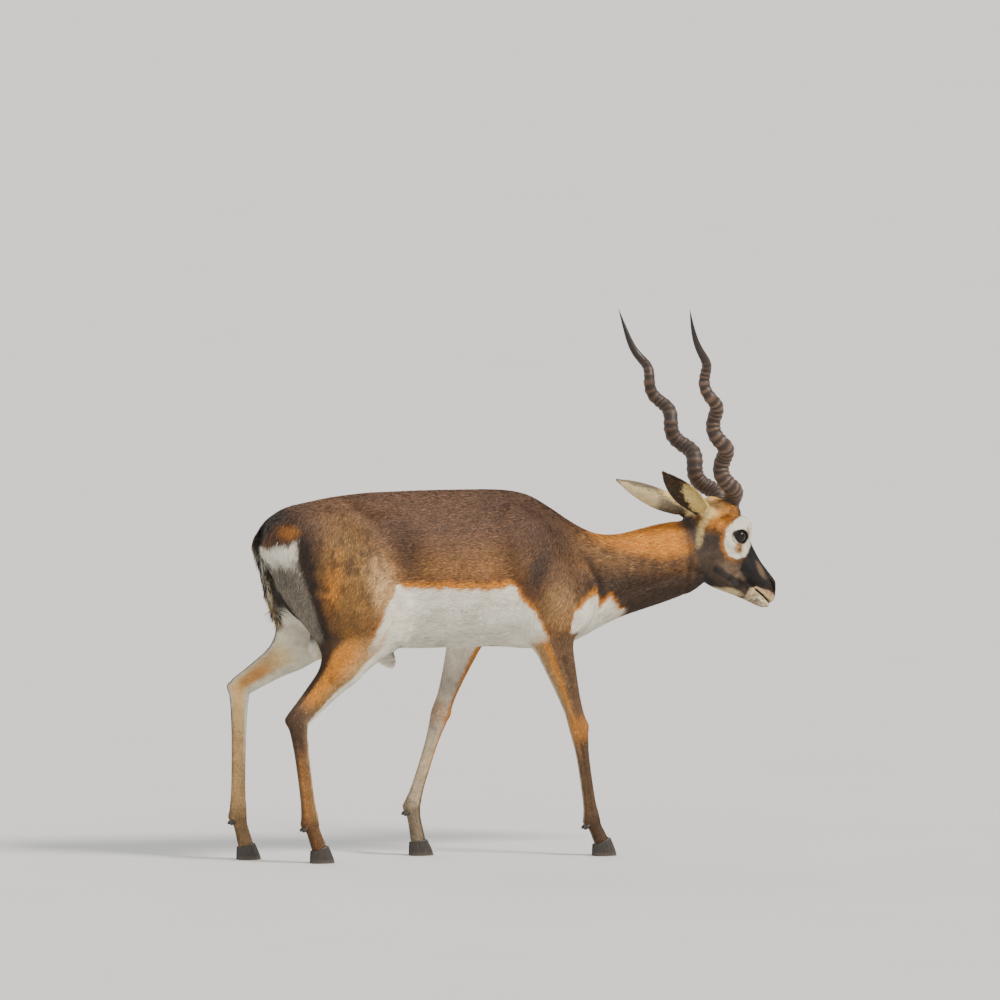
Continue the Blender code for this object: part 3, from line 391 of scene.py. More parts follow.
# Tufts of each region: how many on a square metre, their length and width, and how far their tips stand out
TUFTS = {
    "torso": (510000, 0.0130, 0.00112, 0.0026),
    "neck": (600000, 0.0160, 0.00100, 0.0032),
    "head": (1300000, 0.0048, 0.00062, 0.0006),
    "ear": (1100000, 0.0048, 0.00060, 0.0007),
    "tail": (900000, 0.0300, 0.00200, 0.0040),
    "fore": (600000, 0.0072, 0.00090, 0.0010),
    "hind": (600000, 0.0074, 0.00095, 0.0010),
}
# How deep a tuft's root is sunk, how far along it is widest, and how bright its four points are
TUFT_SUNK = 0.0005
TUFT_MIDDLE = 0.42
TUFT_SHADE = (0.62, 0.95, 0.95, 1.14)
TINT_LIMIT = 0.92
# Hair begins above this height, and the torso's coat is parted at this x
HAIR_FROM = 0.034
TORSO_MIDDLE = -0.14
# Half the width of a tuft's patch on the unwrap
PATCH = 0.0015
COAT_SEED = 41
# The slot of each region's coat
COAT_SLOTS = {
    "torso": "body_coat",
    "neck": "neck_coat",
    "head": "head_coat",
    "tail": "tail_hair",
    "fore_right": "foreleg_coat",
    "fore_left": "foreleg_coat",
    "hind_right": "hindleg_coat",
    "hind_left": "hindleg_coat",
    "ear_right": "ear",
    "ear_left": "ear",
}

# First words of the names of the nodes that the skin and its coat stand for
FLESH_NODES = ("torso", "neck", "head", "tail", "ear", "fore", "hind")

# Studio: the floor's half width, the sky, and each light's name, where it comes from, its spread in
# degrees, its power and its colour
FLOOR_SIZE = 400.0
SKY_COLOUR = (0.97, 0.98, 1.0, 1)
SKY_POWER = 0.95
SUNS = [
    ("key", (0.66, -0.66, 0.95), 14.0, 3.9, (1.0, 0.94, 0.84)),
    ("rim", (-0.3, 0.9, 0.8), 30.0, 0.5, (1.0, 0.97, 0.92)),
]
# Camera: degrees towards the rear and up, metres away, and the metres of model across the picture
CAMERA_TURN = 15.0
CAMERA_LIFT = 5.0
CAMERA_DISTANCE = 80.0
CAMERA_TARGET = (0.0, 0.0, 0.7683)
FRAME_WIDTH = 2.15
SENSOR_WIDTH = 36.0


def smooth_rows(rows, per_span):
    """Rows of a table read along a Catmull-Rom curve, per_span rows for each of its spans."""
    rows = np.array(rows, float)
    ends = np.vstack([2 * rows[0] - rows[1], rows, 2 * rows[-1] - rows[-2]])
    made = []
    for i in range(1, len(ends) - 2):
        before, here, after, beyond = ends[i - 1 : i + 3]
        for t in np.arange(per_span) / per_span:
            bend = (2 * before - 5 * here + 4 * after - beyond) * t * t
            twist = (3 * here - before - 3 * after + beyond) * t**3
            made.append(here + ((after - before) * t + bend + twist) / 2)
    made.append(rows[-1])
    return np.array(made)


# The ears' sections read finely, and the tail's rows from its tip up
EAR_ROWS = smooth_rows(EAR_SECTIONS, 3)
TAIL_ROWS = np.array(TAIL_PATH)[::-1]


def rise(value, low, high):
    """0 below low, 1 above high, and a smooth step between; high may be the lower one."""
    share = np.clip((value - low) / (high - low), 0, 1)
    return share * share * (3 - 2 * share)


def unit(vectors):
    return vectors / np.maximum(np.linalg.norm(vectors, axis=-1, keepdims=True), 1e-12)


def mirrored(place, side):
    """A place given for the left, on the left for side 1 and on the right for side -1."""
    return np.array((place[0], side * place[1], place[2]))


def oval_distance(offsets, radii):
    """About how far points are outside an ellipse or ellipsoid, from their offsets along its axes."""
    near = np.sqrt(sum((o / r) ** 2 for o, r in zip(offsets, radii))) + 1e-9
    slope = np.sqrt(sum((o / r**2) ** 2 for o, r in zip(offsets, radii))) + 1e-9
    return near * (near - 1) / slope


def slices_field(points, rows):
    """A long form made of upright oval slices: x, top, bottom, half width, narrowing upwards."""
    x, y, z = points.T
    top, bottom, half_width, narrowing = (np.interp(x, rows[:, 0], rows[:, i]) for i in range(1, 5))
    middle, half_height = (top + bottom) / 2, (top - bottom) / 2
    height = np.clip((z - middle) / half_height, -1, 1)
    past_ends = np.maximum(rows[0, 0] - x, x - rows[-1, 0])
    across = oval_distance((y, z - middle), (half_width * (1 - narrowing * height), half_height))
    return np.maximum(across, past_ends)


def segment_field(points, start, end):
    """A tapered limb segment between two stations of x, y, z, half depth and half width."""
    axis = end[:3] - start[:3]
    length = np.linalg.norm(axis)
    axis = axis / length
    wide = np.array([0.0, 1.0, 0.0]) - axis[1] * axis
    wide /= max(np.linalg.norm(wide), 1e-9)
    deep = np.cross(axis, wide)
    offset = points - start[:3]
    share = np.clip(offset @ axis / length, 0, 1)
    girth = start[3:] + share[:, None] * (end[3:] - start[3:])
    offset = offset - (share * length)[:, None] * axis
    radii = (girth[:, 0], girth[:, 1], girth.min(axis=1))
    return oval_distance((offset @ deep, offset @ wide, offset @ axis), radii)


def chain_field(points, stations, margin=0.05):
    """A limb of segments; far from all of them it only says that it is far."""
    found = np.full(len(points), 0.1)
    for start, end in zip(stations[:-1], stations[1:]):
        reach = max(start[3:].max(), end[3:].max()) + margin
        low = np.minimum(start[:3], end[:3]) - reach
        high = np.maximum(start[:3], end[:3]) + reach
        here = np.nonzero(((points > low) & (points < high)).all(axis=1))[0]
        found[here] = np.minimum(found[here], segment_field(points[here], start, end))
    return found


def ellipsoid_field(points, centre, radii, pitch):
    """An ellipsoid whose first axis is turned up from +X by pitch degrees."""
    turn = math.radians(pitch)
    offset = points - np.array(centre)
    along = offset[:, 0] * math.cos(turn) + offset[:, 2] * math.sin(turn)
    up = offset[:, 2] * math.cos(turn) - offset[:, 0] * math.sin(turn)
    return oval_distance((along, offset[:, 1], up), radii)


class Flesh:
    """A list of rounded forms, each joined to or carved from those before it with a soft edge."""

    def __init__(self):
        self.forms = []
        self.axes = Matrix.Identity(4)

    def add(self, field, low, high, blend, carve=False):
        """field is in the current axes, and is trusted only near the box from low to high."""
        axes = np.array(self.axes)
        margin = max(blend, BLOCK * BODY_STEP)
        corners = [
            self.axes @ Vector((x, y, z))
            for x in (low[0] - margin, high[0] + margin)
            for y in (low[1] - margin, high[1] + margin)
            for z in (low[2] - margin, high[2] + margin)
        ]
        turn, place = axes[:3, :3], axes[:3, 3]
        reach = np.array([tuple(c) for c in corners])

        def in_axes(points):
            return field((points - place) @ turn)

        self.forms.append((in_axes, reach.min(axis=0), reach.max(axis=0), blend, carve))

    def slices(self, rows, blend):
        rows = smooth_rows(rows, 6)
        wide = rows[:, 3].max() * 1.4
        low = (rows[:, 0].min(), -wide, rows[:, 2].min())
        high = (rows[:, 0].max(), wide, rows[:, 1].max())
        self.add(lambda p: slices_field(p, rows), low, high, blend)

    def ellipsoid(self, centre, radii, blend, pitch=0.0, carve=False):
        centre, reach = np.array(centre), max(radii)
        field = lambda p: ellipsoid_field(p, centre, radii, pitch)
        self.add(field, centre - reach, centre + reach, blend, carve)

    def pair(self, centre, radii, blend, pitch=0.0, carve=False):
        """The same ellipsoid on both sides of the middle plane."""
        for side in SIDES.values():
            self.ellipsoid((centre[0], side * centre[1], centre[2]), radii, blend, pitch, carve)

    def chain(self, stations, blend, carve=False, margin=0.05):
        stations = np.array(stations, float)
        reach = stations[:, 3:].max()
        low, high = stations[:, :3].min(axis=0) - reach, stations[:, :3].max(axis=0) + reach
        self.add(lambda p: chain_field(p, stations, margin), low, high, blend, carve)

    def line_pair(self, stations, blend, carve=False):
        """A thin round ridge or groove on both sides: stations of x, y, z and radius."""
        for side in SIDES.values():
            rows = [(x, side * y, z, radius, radius) for x, y, z, radius in stations]
            self.chain(rows, blend, carve, margin=0.02)

    def __call__(self, points):
        """Distance outside the flesh, exact enough near its surface."""
        found = np.full(len(points), 0.1)
        for field, low, high, blend, carve in self.forms:
            here = np.nonzero(((points > low) & (points < high)).all(axis=1))[0]
            if not len(here):
                continue
            new, old = field(points[here]), found[here]
            sign = -1.0 if carve else 1.0
            overlap = np.maximum(1 - np.abs(new - sign * old) / blend, 0)
            found[here] = sign * (np.minimum(new, sign * old) - overlap**2 * blend / 4)
        return found


def head_turn():
    """The head's yaw and roll about the tip of the nose, without its pitch."""
    yaw = Matrix.Rotation(math.radians(HEAD_YAW), 4, "Z")
    roll = Matrix.Rotation(math.radians(HEAD_ROLL), 4, "X")
    return Matrix.Translation(NOSE_TIP) @ yaw @ roll


def head_axes():
    return head_turn() @ Matrix.Rotation(math.radians(HEAD_PITCH), 4, "Y")


def horn_axes():
    """Yawed and rolled with the head, but with coordinates like those of the unturned world."""
    return head_turn() @ Matrix.Translation(-Vector((NOSE_TIP[0], 0, NOSE_TIP[2])))


def in_head(points):
    """Points in the head's own axes."""
    axes = np.array(head_axes())
    return (points - axes[:3, 3]) @ axes[:3, :3]


def block_values(field, low, counts, step):
    """The field on a grid, worked out only in the blocks that its surface comes near."""
    blocks = -(-counts // BLOCK)
    lattice = np.stack(np.meshgrid(*(np.arange(n) for n in blocks), indexing="ij"), axis=-1)
    middles = low + (lattice.reshape(-1, 3) * BLOCK + (BLOCK - 1) / 2) * step
    coarse = field(middles)
    near = np.abs(coarse) < BLOCK * step * 1.35 + 0.001
    inside = np.array([(a, b, c) for a in range(BLOCK) for b in range(BLOCK) for c in range(BLOCK)])
    cells = lattice.reshape(-1, 3)[near][:, None] * BLOCK + inside
    fine = field(low + cells.reshape(-1, 3) * step)
    shape = tuple(blocks * BLOCK)
    values = np.where(coarse < 0, -0.1, 0.1).astype(np.float32).reshape(tuple(blocks))
    for axis in range(3):
        values = np.repeat(values, BLOCK, axis=axis)
    values = values.reshape(shape)
    values[tuple(cells.reshape(-1, 3).T)] = fine
    return values


def clear_corners(values, rounds=8):
    """Flips the weakest corner of each grid face whose diagonal corners touch only at a point."""
    for _ in range(rounds):
        found = 0
        for i, j in ((0, 1), (0, 2), (1, 2)):
            views = []
            for a, b in ((0, 0), (1, 1), (0, 1), (1, 0)):
                spans = [slice(None)] * 3
                spans[i] = slice(a, values.shape[i] - 1 + a)
                spans[j] = slice(b, values.shape[j] - 1 + b)
                views.append(values[tuple(spans)])
            signs = [view < 0 for view in views]
            doubtful = (signs[0] == signs[1]) & (signs[2] == signs[3]) & (signs[0] != signs[2])
            places = np.nonzero(doubtful)
            if len(places[0]):
                found += len(places[0])
                weakest = np.argmin(np.abs([view[places] for view in views]), axis=0)
                for k, view in enumerate(views):
                    spots = tuple(p[weakest == k] for p in places)
                    view[spots] = np.where(view[spots] < 0, 1e-5, -1e-5)
        if not found:
            break
    return values


def surface_of(field, low, high, step):
    """Points and quads of the field's zero surface, one point for each grid cell that it crosses."""
    low = np.array(low, float)
    counts = np.ceil((np.array(high) - low) / step).astype(int) + 1
    values = clear_corners(block_values(field, low, counts, step))
    inside = values < 0
    cells = tuple(n - 1 for n in values.shape)
    filled = np.zeros(cells, np.int8)
    for corner in CORNERS:
        filled += inside[tuple(slice(c, n + c) for c, n in zip(corner, cells))]
    active = (filled > 0) & (filled < len(CORNERS))
    spots = np.argwhere(active)
    number = np.full(cells, -1, np.int32)
    number[active] = np.arange(len(spots))
    at = np.stack([values[tuple((spots + corner).T)] for corner in CORNERS], axis=1).astype(float)
    total, crossings = np.zeros((len(spots), 3)), np.zeros(len(spots))
    for i, start in enumerate(CORNERS):
        for j, end in enumerate(CORNERS):
            if j > i and sum(a != b for a, b in zip(start, end)) == 1:
                crossed = (at[:, i] < 0) != (at[:, j] < 0)
                drop = np.where(crossed, at[:, i] - at[:, j], 1)
                share = np.where(crossed, at[:, i] / drop, 0)
                way = np.array(end) - start
                total += crossed[:, None] * (np.array(start) + share[:, None] * way)
                crossings += crossed
    points = low + (spots + total / crossings[:, None]) * step
    quads = []
    for i in range(3):
        j, k = (i + 1) % 3, (i + 2) % 3
        here = [slice(1, -1)] * 3
        here[i] = slice(0, values.shape[i] - 1)
        there = list(here)
        there[i] = slice(1, values.shape[i])
        for leaving in (True, False):
            crossed = (inside[tuple(here)] == leaving) & (inside[tuple(there)] != leaving)
            edge = np.argwhere(crossed)
            edge[:, [j, k]] += 1
            ring = []
            for back_j, back_k in ((1, 1), (0, 1), (0, 0), (1, 0)):
                cell = edge.copy()
                cell[:, j] -= back_j
                cell[:, k] -= back_k
                ring.append(number[tuple(cell.T)])
            quads.append(np.stack(ring if leaving else ring[::-1], axis=1))
    return points, np.vstack(quads)


def settle(points, field, reach=0.0004):
    """Moves points onto the field's zero surface."""
    here = field(points)
    slope = np.zeros_like(points)
    for i in range(3):
        shift = np.zeros(3)
        shift[i] = reach
        slope[:, i] = (field(points + shift) - here) / reach
    steepness = np.maximum((slope**2).sum(axis=1), 0.1)
    return points - slope * np.clip(here / steepness, -0.002, 0.002)[:, None]


def hamstring(name, side):
    """The muscle from the seat bone to the back of the shin."""
    (x0, z0), (x1, z1) = HIND_JOINTS[name][1:3]
    share = HAMSTRING_END - 1
    end = (x0 + (x1 - x0) * share, side * HIND_SPREAD[1] * 0.9, z0 + (z1 - z0) * share)
    x, y, z = SEAT_BONE[name]
    start = (x, side * y, z)
    return [(*start, *HAMSTRING[0]), (*end, *HAMSTRING[1])]


def tail_groove():
    """The hollow between the buttocks that the tail hangs in, open to the rear."""
    rows = []
    for x, z, depth, width in TAIL_PATH[2:]:
        rows.append((x - TAIL_GROOVE, 0, z, depth + 1.5 * TAIL_GROOVE, width + 0.6 * TAIL_GROOVE))
    return rows


def leg_stations(joints, spread, girth, side):
    """Stations down one leg, from its joints and the thickness table."""
    spots = np.array([(x, side * y, z) for (x, z), y in zip(joints, spread)])
    rows = []
    for place, depth, width in smooth_rows(girth, 3):
        bone = min(int(place), len(spots) - 2)
        spot = spots[bone] + (place - bone) * (spots[bone + 1] - spots[bone])
        rows.append([*spot, depth, width])
    return rows


def legs():
    """Name, side, joints, spread and girth of every leg."""
    for name, side in SIDES.items():
        yield "fore_" + name, side, FORE_JOINTS[name], FORE_SPREAD, FORE_GIRTH
        yield "hind_" + name, side, HIND_JOINTS[name], HIND_SPREAD, HIND_GIRTH


def leg_spot(joints, spread, side, place, ahead=0.0, outward=0.0):
    """A point by a leg's bones: bone and share of it, metres in front of it and outside it."""
    bone = min(int(place), len(joints) - 2)
    (x0, z0), (x1, z1) = joints[bone], joints[bone + 1]
    length = math.hypot(x1 - x0, z1 - z0)
    share = place - bone
    y = spread[bone] + (spread[bone + 1] - spread[bone]) * share + outward
    x = x0 + (x1 - x0) * share - (z1 - z0) / length * ahead
    z = z0 + (z1 - z0) * share + (x1 - x0) / length * ahead
    return (x, side * y, z)


def trunk_forms(flesh):
    flesh.slices(TRUNK, 0.02)
    # shoulder blade, upper arm, rump and the hollow in front of the haunch
    flesh.pair((0.055, 0.058, 0.650), (0.110, 0.034, 0.056), 0.05, pitch=-68)
    flesh.pair((0.085, 0.066, 0.560), (0.080, 0.034, 0.056), 0.05, pitch=-35)
    flesh.pair((-0.420, 0.050, 0.690), (0.085, 0.045, 0.065), 0.05, pitch=-15)
    flesh.pair((-0.290, 0.128, 0.640), (0.055, 0.022, 0.080), 0.06, pitch=20, carve=True)
    # sheath under the belly, and the scrotum between the thighs
    flesh.chain([(-0.268, 0, 0.462, 0.020, 0.018), (-0.240, 0, 0.424, 0.011, 0.011)], 0.03)
    flesh.chain([(-0.400, 0, 0.500, 0.022, 0.024), (-0.408, 0, 0.458, 0.020, 0.022)], 0.02)


def muscle_forms(flesh):
    """Shallow hollows and ridges that muscle and bone make under the skin of the trunk and legs."""
    # behind the shoulder, before it, along the throat, and between the neck and the shoulder
    flesh.line_pair([(-0.035, 0.116, 0.700, 0.013), (-0.005, 0.121, 0.600, 0.016)], 0.030, carve=True)
    flesh.line_pair([(0.150, 0.104, 0.680, 0.010), (0.170, 0.108, 0.560, 0.010)], 0.026, carve=True)
    flesh.line_pair([(0.230, 0.068, 0.555, 0.006), (0.420, 0.054, 0.610, 0.005)], 0.014, carve=True)
    # hip bone and the fold of skin from the flank to the knee
    flesh.pair((-0.290, 0.050, 0.764), (0.030, 0.018, 0.012), 0.045)
    flesh.pair((-0.222, 0.124, 0.662), (0.028, 0.016, 0.050), 0.035, carve=True)
    flesh.line_pair([(-0.235, 0.090, 0.560, 0.006), (-0.262, 0.088, 0.500, 0.007)], 0.020)
    for name, side, joints, spread, _ in legs():
        wide, grooves, knobs = LEG_RELIEF[name.split("_")[0]]
        for (start, ahead), (end, ahead_end), radius in grooves:
            for outward in (wide, -wide):
                scale = 1.45 if start < 2 else 0.86
                rows = []
                for place, forward in ((start, ahead), ((start + end) / 2, ahead), (end, ahead_end)):
                    at = leg_spot(joints, spread, side, place, forward, outward * scale * 0.80)
                    rows.append((*at, radius, radius))
                flesh.chain(rows, 0.010, carve=True, margin=0.02)
        for place, ahead, radius in knobs:
            centre = leg_spot(joints, spread, side, place, ahead)
            flesh.ellipsoid(centre, (radius, radius, radius), 0.012)


def head_forms(flesh):
    """Skull, jaw, brows, cheeks, lips and nose, in the head's own axes."""
    flesh.axes = head_axes()
    flesh.slices(FACE, 0.02)
    flesh.slices(JAW, 0.010)
    flesh.pair((-0.125, 0.024, -0.040), (0.048, 0.017, 0.040), 0.02, pitch=12)
    x, y, z = EYE_PLACE
    flesh.pair((x - 0.004, y - 0.009, z + 0.007), (0.031, 0.020, 0.027), 0.022, pitch=20)
    flesh.pair((x - 0.010, y - 0.009, z + 0.030), (0.022, 0.012, 0.011), 0.018, pitch=15)
    flesh.pair(EYE_PLACE, [EYE_RADIUS + LID] * 3, 0.006)
    # roots of the horns and ears
    flesh.pair((-0.203, 0.033, 0.046), (0.028, 0.025, 0.026), 0.012)
    flesh.pair((-0.232, 0.036, 0.012), (0.028, 0.019, 0.024), 0.02)
    # lips, chin and the wings of the nostrils
    flesh.pair((-0.018, 0.012, -0.026), (0.022, 0.009, 0.007), 0.008)
    flesh.pair((-0.014, 0.009, -0.044), (0.020, 0.008, 0.007), 0.008)
    flesh.pair((-0.026, 0.016, 0.000), (0.014, 0.007, 0.009), 0.008, pitch=-30)
    bone_forms(flesh)
    eye_forms(flesh)
    nose_forms(flesh)
    flesh.axes = Matrix.Identity(4)


def side_of_head(flesh, x, z):
    """How far out the head's surface is at a place of its side view, in the head's own axes."""
    outs = np.linspace(0.0, 0.07, 281)
    axes = np.array(head_axes())
    rows = np.column_stack([np.full_like(outs, x), outs, np.full_like(outs, z)])
    solid = flesh(rows @ axes[:3, :3].T + axes[:3, 3]) < 0
    return outs[solid].max() if solid.any() else 0.0


def on_head(flesh, stations):
    """Stations of x, z, radius and how deep they are sunk, set on the side of the head."""
    return [(x, side_of_head(flesh, x, z) - sunk, z, radius) for x, z, radius, sunk in stations]


def bone_forms(flesh):
    """Ridges and hollows of the skull: cheek bone, jaw muscle, temple and the sides of the nose."""
    arch = [(-0.128, 0.000, 0.0035, 0.004), (-0.160, -0.004, 0.004, 0.004), (-0.198, 0.004, 0.004, 0.005)]
    crest = [(-0.120, -0.002, 0.003, 0.003), (-0.090, -0.014, 0.0025, 0.003)]
    temple = [(-0.178, 0.046, 0.004, -0.002), (-0.205, 0.022, 0.005, -0.003)]
    muscle = [(-0.100, -0.030, 0.003, -0.0015), (-0.104, -0.062, 0.003, -0.001)]
    nose = [(-0.110, 0.022, 0.003, -0.002), (-0.050, 0.006, 0.003, -0.002)]
    jaw = [(-0.050, -0.046, 0.002, -0.001), (-0.095, -0.052, 0.0025, -0.001)]
    for line, blend, carve in (
        (arch, 0.012, False),
        (crest, 0.010, False),
        (temple, 0.012, True),
        (muscle, 0.010, True),
        (nose, 0.012, True),
        (jaw, 0.008, True),
    ):
        flesh.line_pair(on_head(flesh, line), blend, carve)


def eye_axes(side):
    """The eye's own axes in those of the head: where it looks, along its opening, and up."""
    look = unit(np.array([EYE_LOOK[0], side * EYE_LOOK[1], EYE_LOOK[2]]))
    tilt = math.radians(EYE_TILT)
    along = np.array([math.cos(tilt), 0.0, -math.sin(tilt)])
    along = unit(along - look * (along @ look))
    up = np.cross(look, along) * -side
    return look, along, up if up[2] > 0 else -up


def lid_line(side, grow, count, first=0.0, last=360.0):
    """Points round the opening of the eye, grow outside its edge, on the ball of the eye."""
    look, along, up = eye_axes(side)
    centre = mirrored(EYE_PLACE, side)
    ball = EYE_RADIUS + LID_STAND
    made = []
    for turn in np.radians(np.linspace(first, last, count)):
        ahead, above = math.cos(turn), math.sin(turn)
        far = (EYE_OPENING[0] + grow) * ahead * (1 + 0.10 * max(ahead, 0) ** 3)
        high = (EYE_OPENING[1] + grow) * above * (1 - 0.18 * max(ahead, 0) ** 2)
        high += 0.0012 * (1 - ahead**2) * (1 if above > 0 else -0.3)
        lift = math.sqrt(max(ball**2 - far**2 - high**2, (0.25 * ball) ** 2))
        made.append(centre + look * lift + (along * far + up * high))
    return made


def eye_forms(flesh):
    """The opening of the eye, its rims, the folds above and below it, and the gland before it."""
    x, y, z = EYE_PLACE
    opening = Vector(EYE_PLACE) + Vector(EYE_LOOK).normalized() * (EYE_RADIUS + 0.002)
    radii = (EYE_OPENING[0], 0.0150, EYE_OPENING[1])
    flesh.pair(opening, radii, 0.002, pitch=-EYE_TILT, carve=True)
    corner = [(x + 0.010, y + 0.014, z - 0.006, 0.0030), (x + 0.0195, y + 0.004, z - 0.0125, 0.0012)]
    flesh.line_pair(corner, 0.002, carve=True)
    for side in SIDES.values():
        rim = [(*p, 0.0015, 0.0015) for p in lid_line(side, 0.0010, 25)]
        flesh.chain(rim, 0.0012, margin=0.015)
        for grow, first, last, radius in LID_FOLDS:
            fold = []
            for px, py, pz in lid_line(side, grow, 12, first, last):
                fold.append((px, py + side * 0.0012, pz, radius, radius))
            flesh.chain(fold, 0.0030, carve=True, margin=0.015)
    slit = [(x + 0.017, z - 0.017, 0.0015, 0.0004), (x + 0.028, z - 0.024, 0.0012, 0.0002)]
    lips = [(x + 0.014, z - 0.019, 0.0022, 0.0012), (x + 0.029, z - 0.027, 0.0018, 0.0010)]
    flesh.line_pair(on_head(flesh, lips), 0.004)
    flesh.line_pair(on_head(flesh, slit), 0.0016, carve=True)


def nose_forms(flesh):
    """Nostrils with their raised wings, the groove of the upper lip, the mouth and its lips."""
    wing = [
        (-0.030, 0.0062, 0.0022, 0.0018),
        (-0.018, 0.0040, 0.0026, 0.0020),
        (-0.006, -0.006, 0.0024, 0.0022),
    ]
    comma = [
        (-0.030, 0.0000, 0.0013, 0.0002),
        (-0.021, -0.0008, 0.0026, 0.0008),
        (-0.0125, -0.0055, 0.0032, 0.0016),
        (-0.0065, -0.0110, 0.0022, 0.0014),
    ]
    flesh.line_pair(on_head(flesh, wing), 0.005)
    flesh.line_pair(on_head(flesh, comma), 0.0015, carve=True)
    lip = [(-0.044, MOUTH_LINE + 0.004, 0.0020, 0.0014), (-0.020, MOUTH_LINE + 0.0045, 0.0028, 0.0014)]
    lower = [(-0.044, MOUTH_LINE - 0.004, 0.0020, 0.0016), (-0.018, MOUTH_LINE - 0.0042, 0.0026, 0.0016)]
    flesh.line_pair(on_head(flesh, lip), 0.004)
    flesh.line_pair(on_head(flesh, lower), 0.004)
    flesh.chain([(0.010, 0, -0.012, 0.0016, 0.0008), (0.012, 0, -0.030, 0.0016, 0.0008)], 0.002, carve=True)
    for side in SIDES.values():
        line = [
            (0.014, 0.0, MOUTH_LINE, 0.0012, 0.004),
            (0.004, side * 0.0130, MOUTH_LINE, 0.0012, 0.004),
            (-0.012, side * 0.0200, MOUTH_LINE, 0.0012, 0.004),
            (-0.032, side * 0.0240, MOUTH_LINE - 0.0005, 0.0011, 0.003),
            (-0.047, side * 0.0262, MOUTH_LINE - 0.0030, 0.0007, 0.002),
        ]
        flesh.chain(line, 0.0016, carve=True)


def ear_axes(name):
    """Base, length and own axes of an ear: along it, the way it opens and across it."""
    base, tip, opening = (np.array(v) for v in EARS[name])
    length = np.linalg.norm(tip - base)
    along = (tip - base) / length
    open_way = unit(opening - along * (opening @ along))
    return base, length, along, open_way, np.cross(along, open_way)


def ear_place(points, name):
    """Share of an ear's length, angle round its cup, distance from the cup's middle, and its size."""
    base, length, along, open_way, across = ear_axes(name)
    offset = points - base
    share = offset @ along / length
    half_width = np.interp(share, EAR_ROWS[:, 0], EAR_ROWS[:, 1])
    bend = np.radians(np.interp(share, EAR_ROWS[:, 0], EAR_ROWS[:, 2])) / 2
    radius = half_width / np.sin(np.minimum(bend, math.pi / 2))
    inward = np.array([0.4, -SIDES[name], -0.3]) * EAR_TUCK
    offset = offset - np.maximum(0.14 - share, 0)[:, None] * inward
    sideways = offset @ across
    ahead = offset @ open_way - radius * np.cos(bend)
    return share, np.arctan2(sideways, -ahead), np.hypot(sideways, ahead), radius, bend, length


def ear_field(points, name):
    """A thin cup, closed at its root."""
    share, turn, far, radius, bend, length = ear_place(points, name)
    solid = 1 - rise(share, 0.04, 0.17)
    wall = EAR_THICKNESS + solid * radius * 1.5
    middle = np.maximum(radius - wall / 2, 0.0002)
    past = np.abs(turn) - bend
    within = np.abs(far - middle)
    beside = np.sqrt(np.maximum(far**2 + middle**2 - 2 * far * middle * np.cos(past), 0))
    across = np.where(past < 0, within, beside) - wall / 2
    ends = np.maximum((share - 0.985) * length, (-0.15 - share) * length)
    return np.maximum(across, ends)


def ear_forms(flesh):
    for name in SIDES:
        base, tip, _ = (np.array(v) for v in EARS[name])
        low, high = np.minimum(base, tip) - 0.035, np.maximum(base, tip) + 0.035
        flesh.add(lambda p, name=name: ear_field(p, name), low, high, 0.009)


def tail_forms(flesh):
    """The flesh of the tail, thinner than its hair."""
    rows = []
    for x, z, depth, width in TAIL_PATH[:-1]:
        rows.append((x, 0.0, z, depth * TAIL_CORE, width * TAIL_CORE))
    flesh.chain(rows, 0.008)


def build_flesh():
    flesh = Flesh()
    trunk_forms(flesh)
    for name, side, joints, spread, girth in legs():
        flesh.chain(leg_stations(joints, spread, girth, side), 0.035)
        if name.startswith("hind"):
            flesh.chain(hamstring(name.split("_")[1], side), 0.045)
    flesh.chain(tail_groove(), 0.012, carve=True)
    muscle_forms(flesh)
    head_forms(flesh)
    ear_forms(flesh)
    tail_forms(flesh)
    return flesh


def coat_depth(points):
    """How far inside the solids the skin lies: deep on the body, thin on the face, ears and legs."""
    x, _, z = points.T
    body = 0.0007 + 0.0023 * (1 - rise(x, 0.40, 0.47)) * rise(z, 0.30, 0.48)
    on_ears = rise(np.minimum(head_side(points), 0.55 - x), -0.006, 0.0) * rise(0.455 - x, 0.0, 0.02)
    return body * (1 - on_ears) + 0.0003 * on_ears


def new_object(name, mesh):
    made = bpy.data.objects.new(name, mesh)
    bpy.context.scene.collection.objects.link(made)
    return made


def mesh_of(name, points, faces):
    """A smooth-shaded mesh from arrays; the faces all have the same number of corners."""
    mesh = bpy.data.meshes.new(name)
    count, corners = faces.shape
    mesh.vertices.add(len(points))
    mesh.vertices.foreach_set("co", np.ascontiguousarray(points, np.float32).ravel())
    mesh.loops.add(count * corners)
    mesh.loops.foreach_set("vertex_index", np.ascontiguousarray(faces, np.int32).ravel())
    mesh.polygons.add(count)
    mesh.polygons.foreach_set("loop_start", np.arange(0, count * corners, corners, dtype=np.int32))
    mesh.update(calc_edges=True)
    mesh.shade_smooth()
    return mesh


def head_side(points):
    """Above 0 for the head and ears, below for the neck and body."""
    x, y, z = points.T
    beside = np.minimum(np.abs(y) - EARS_FROM_SIDE[0], z - EARS_FROM_SIDE[1])
    ears = np.minimum(np.maximum(z - EARS_FROM, beside), x - EARS_END)
    return np.maximum(x - HEAD_REAR, ears)


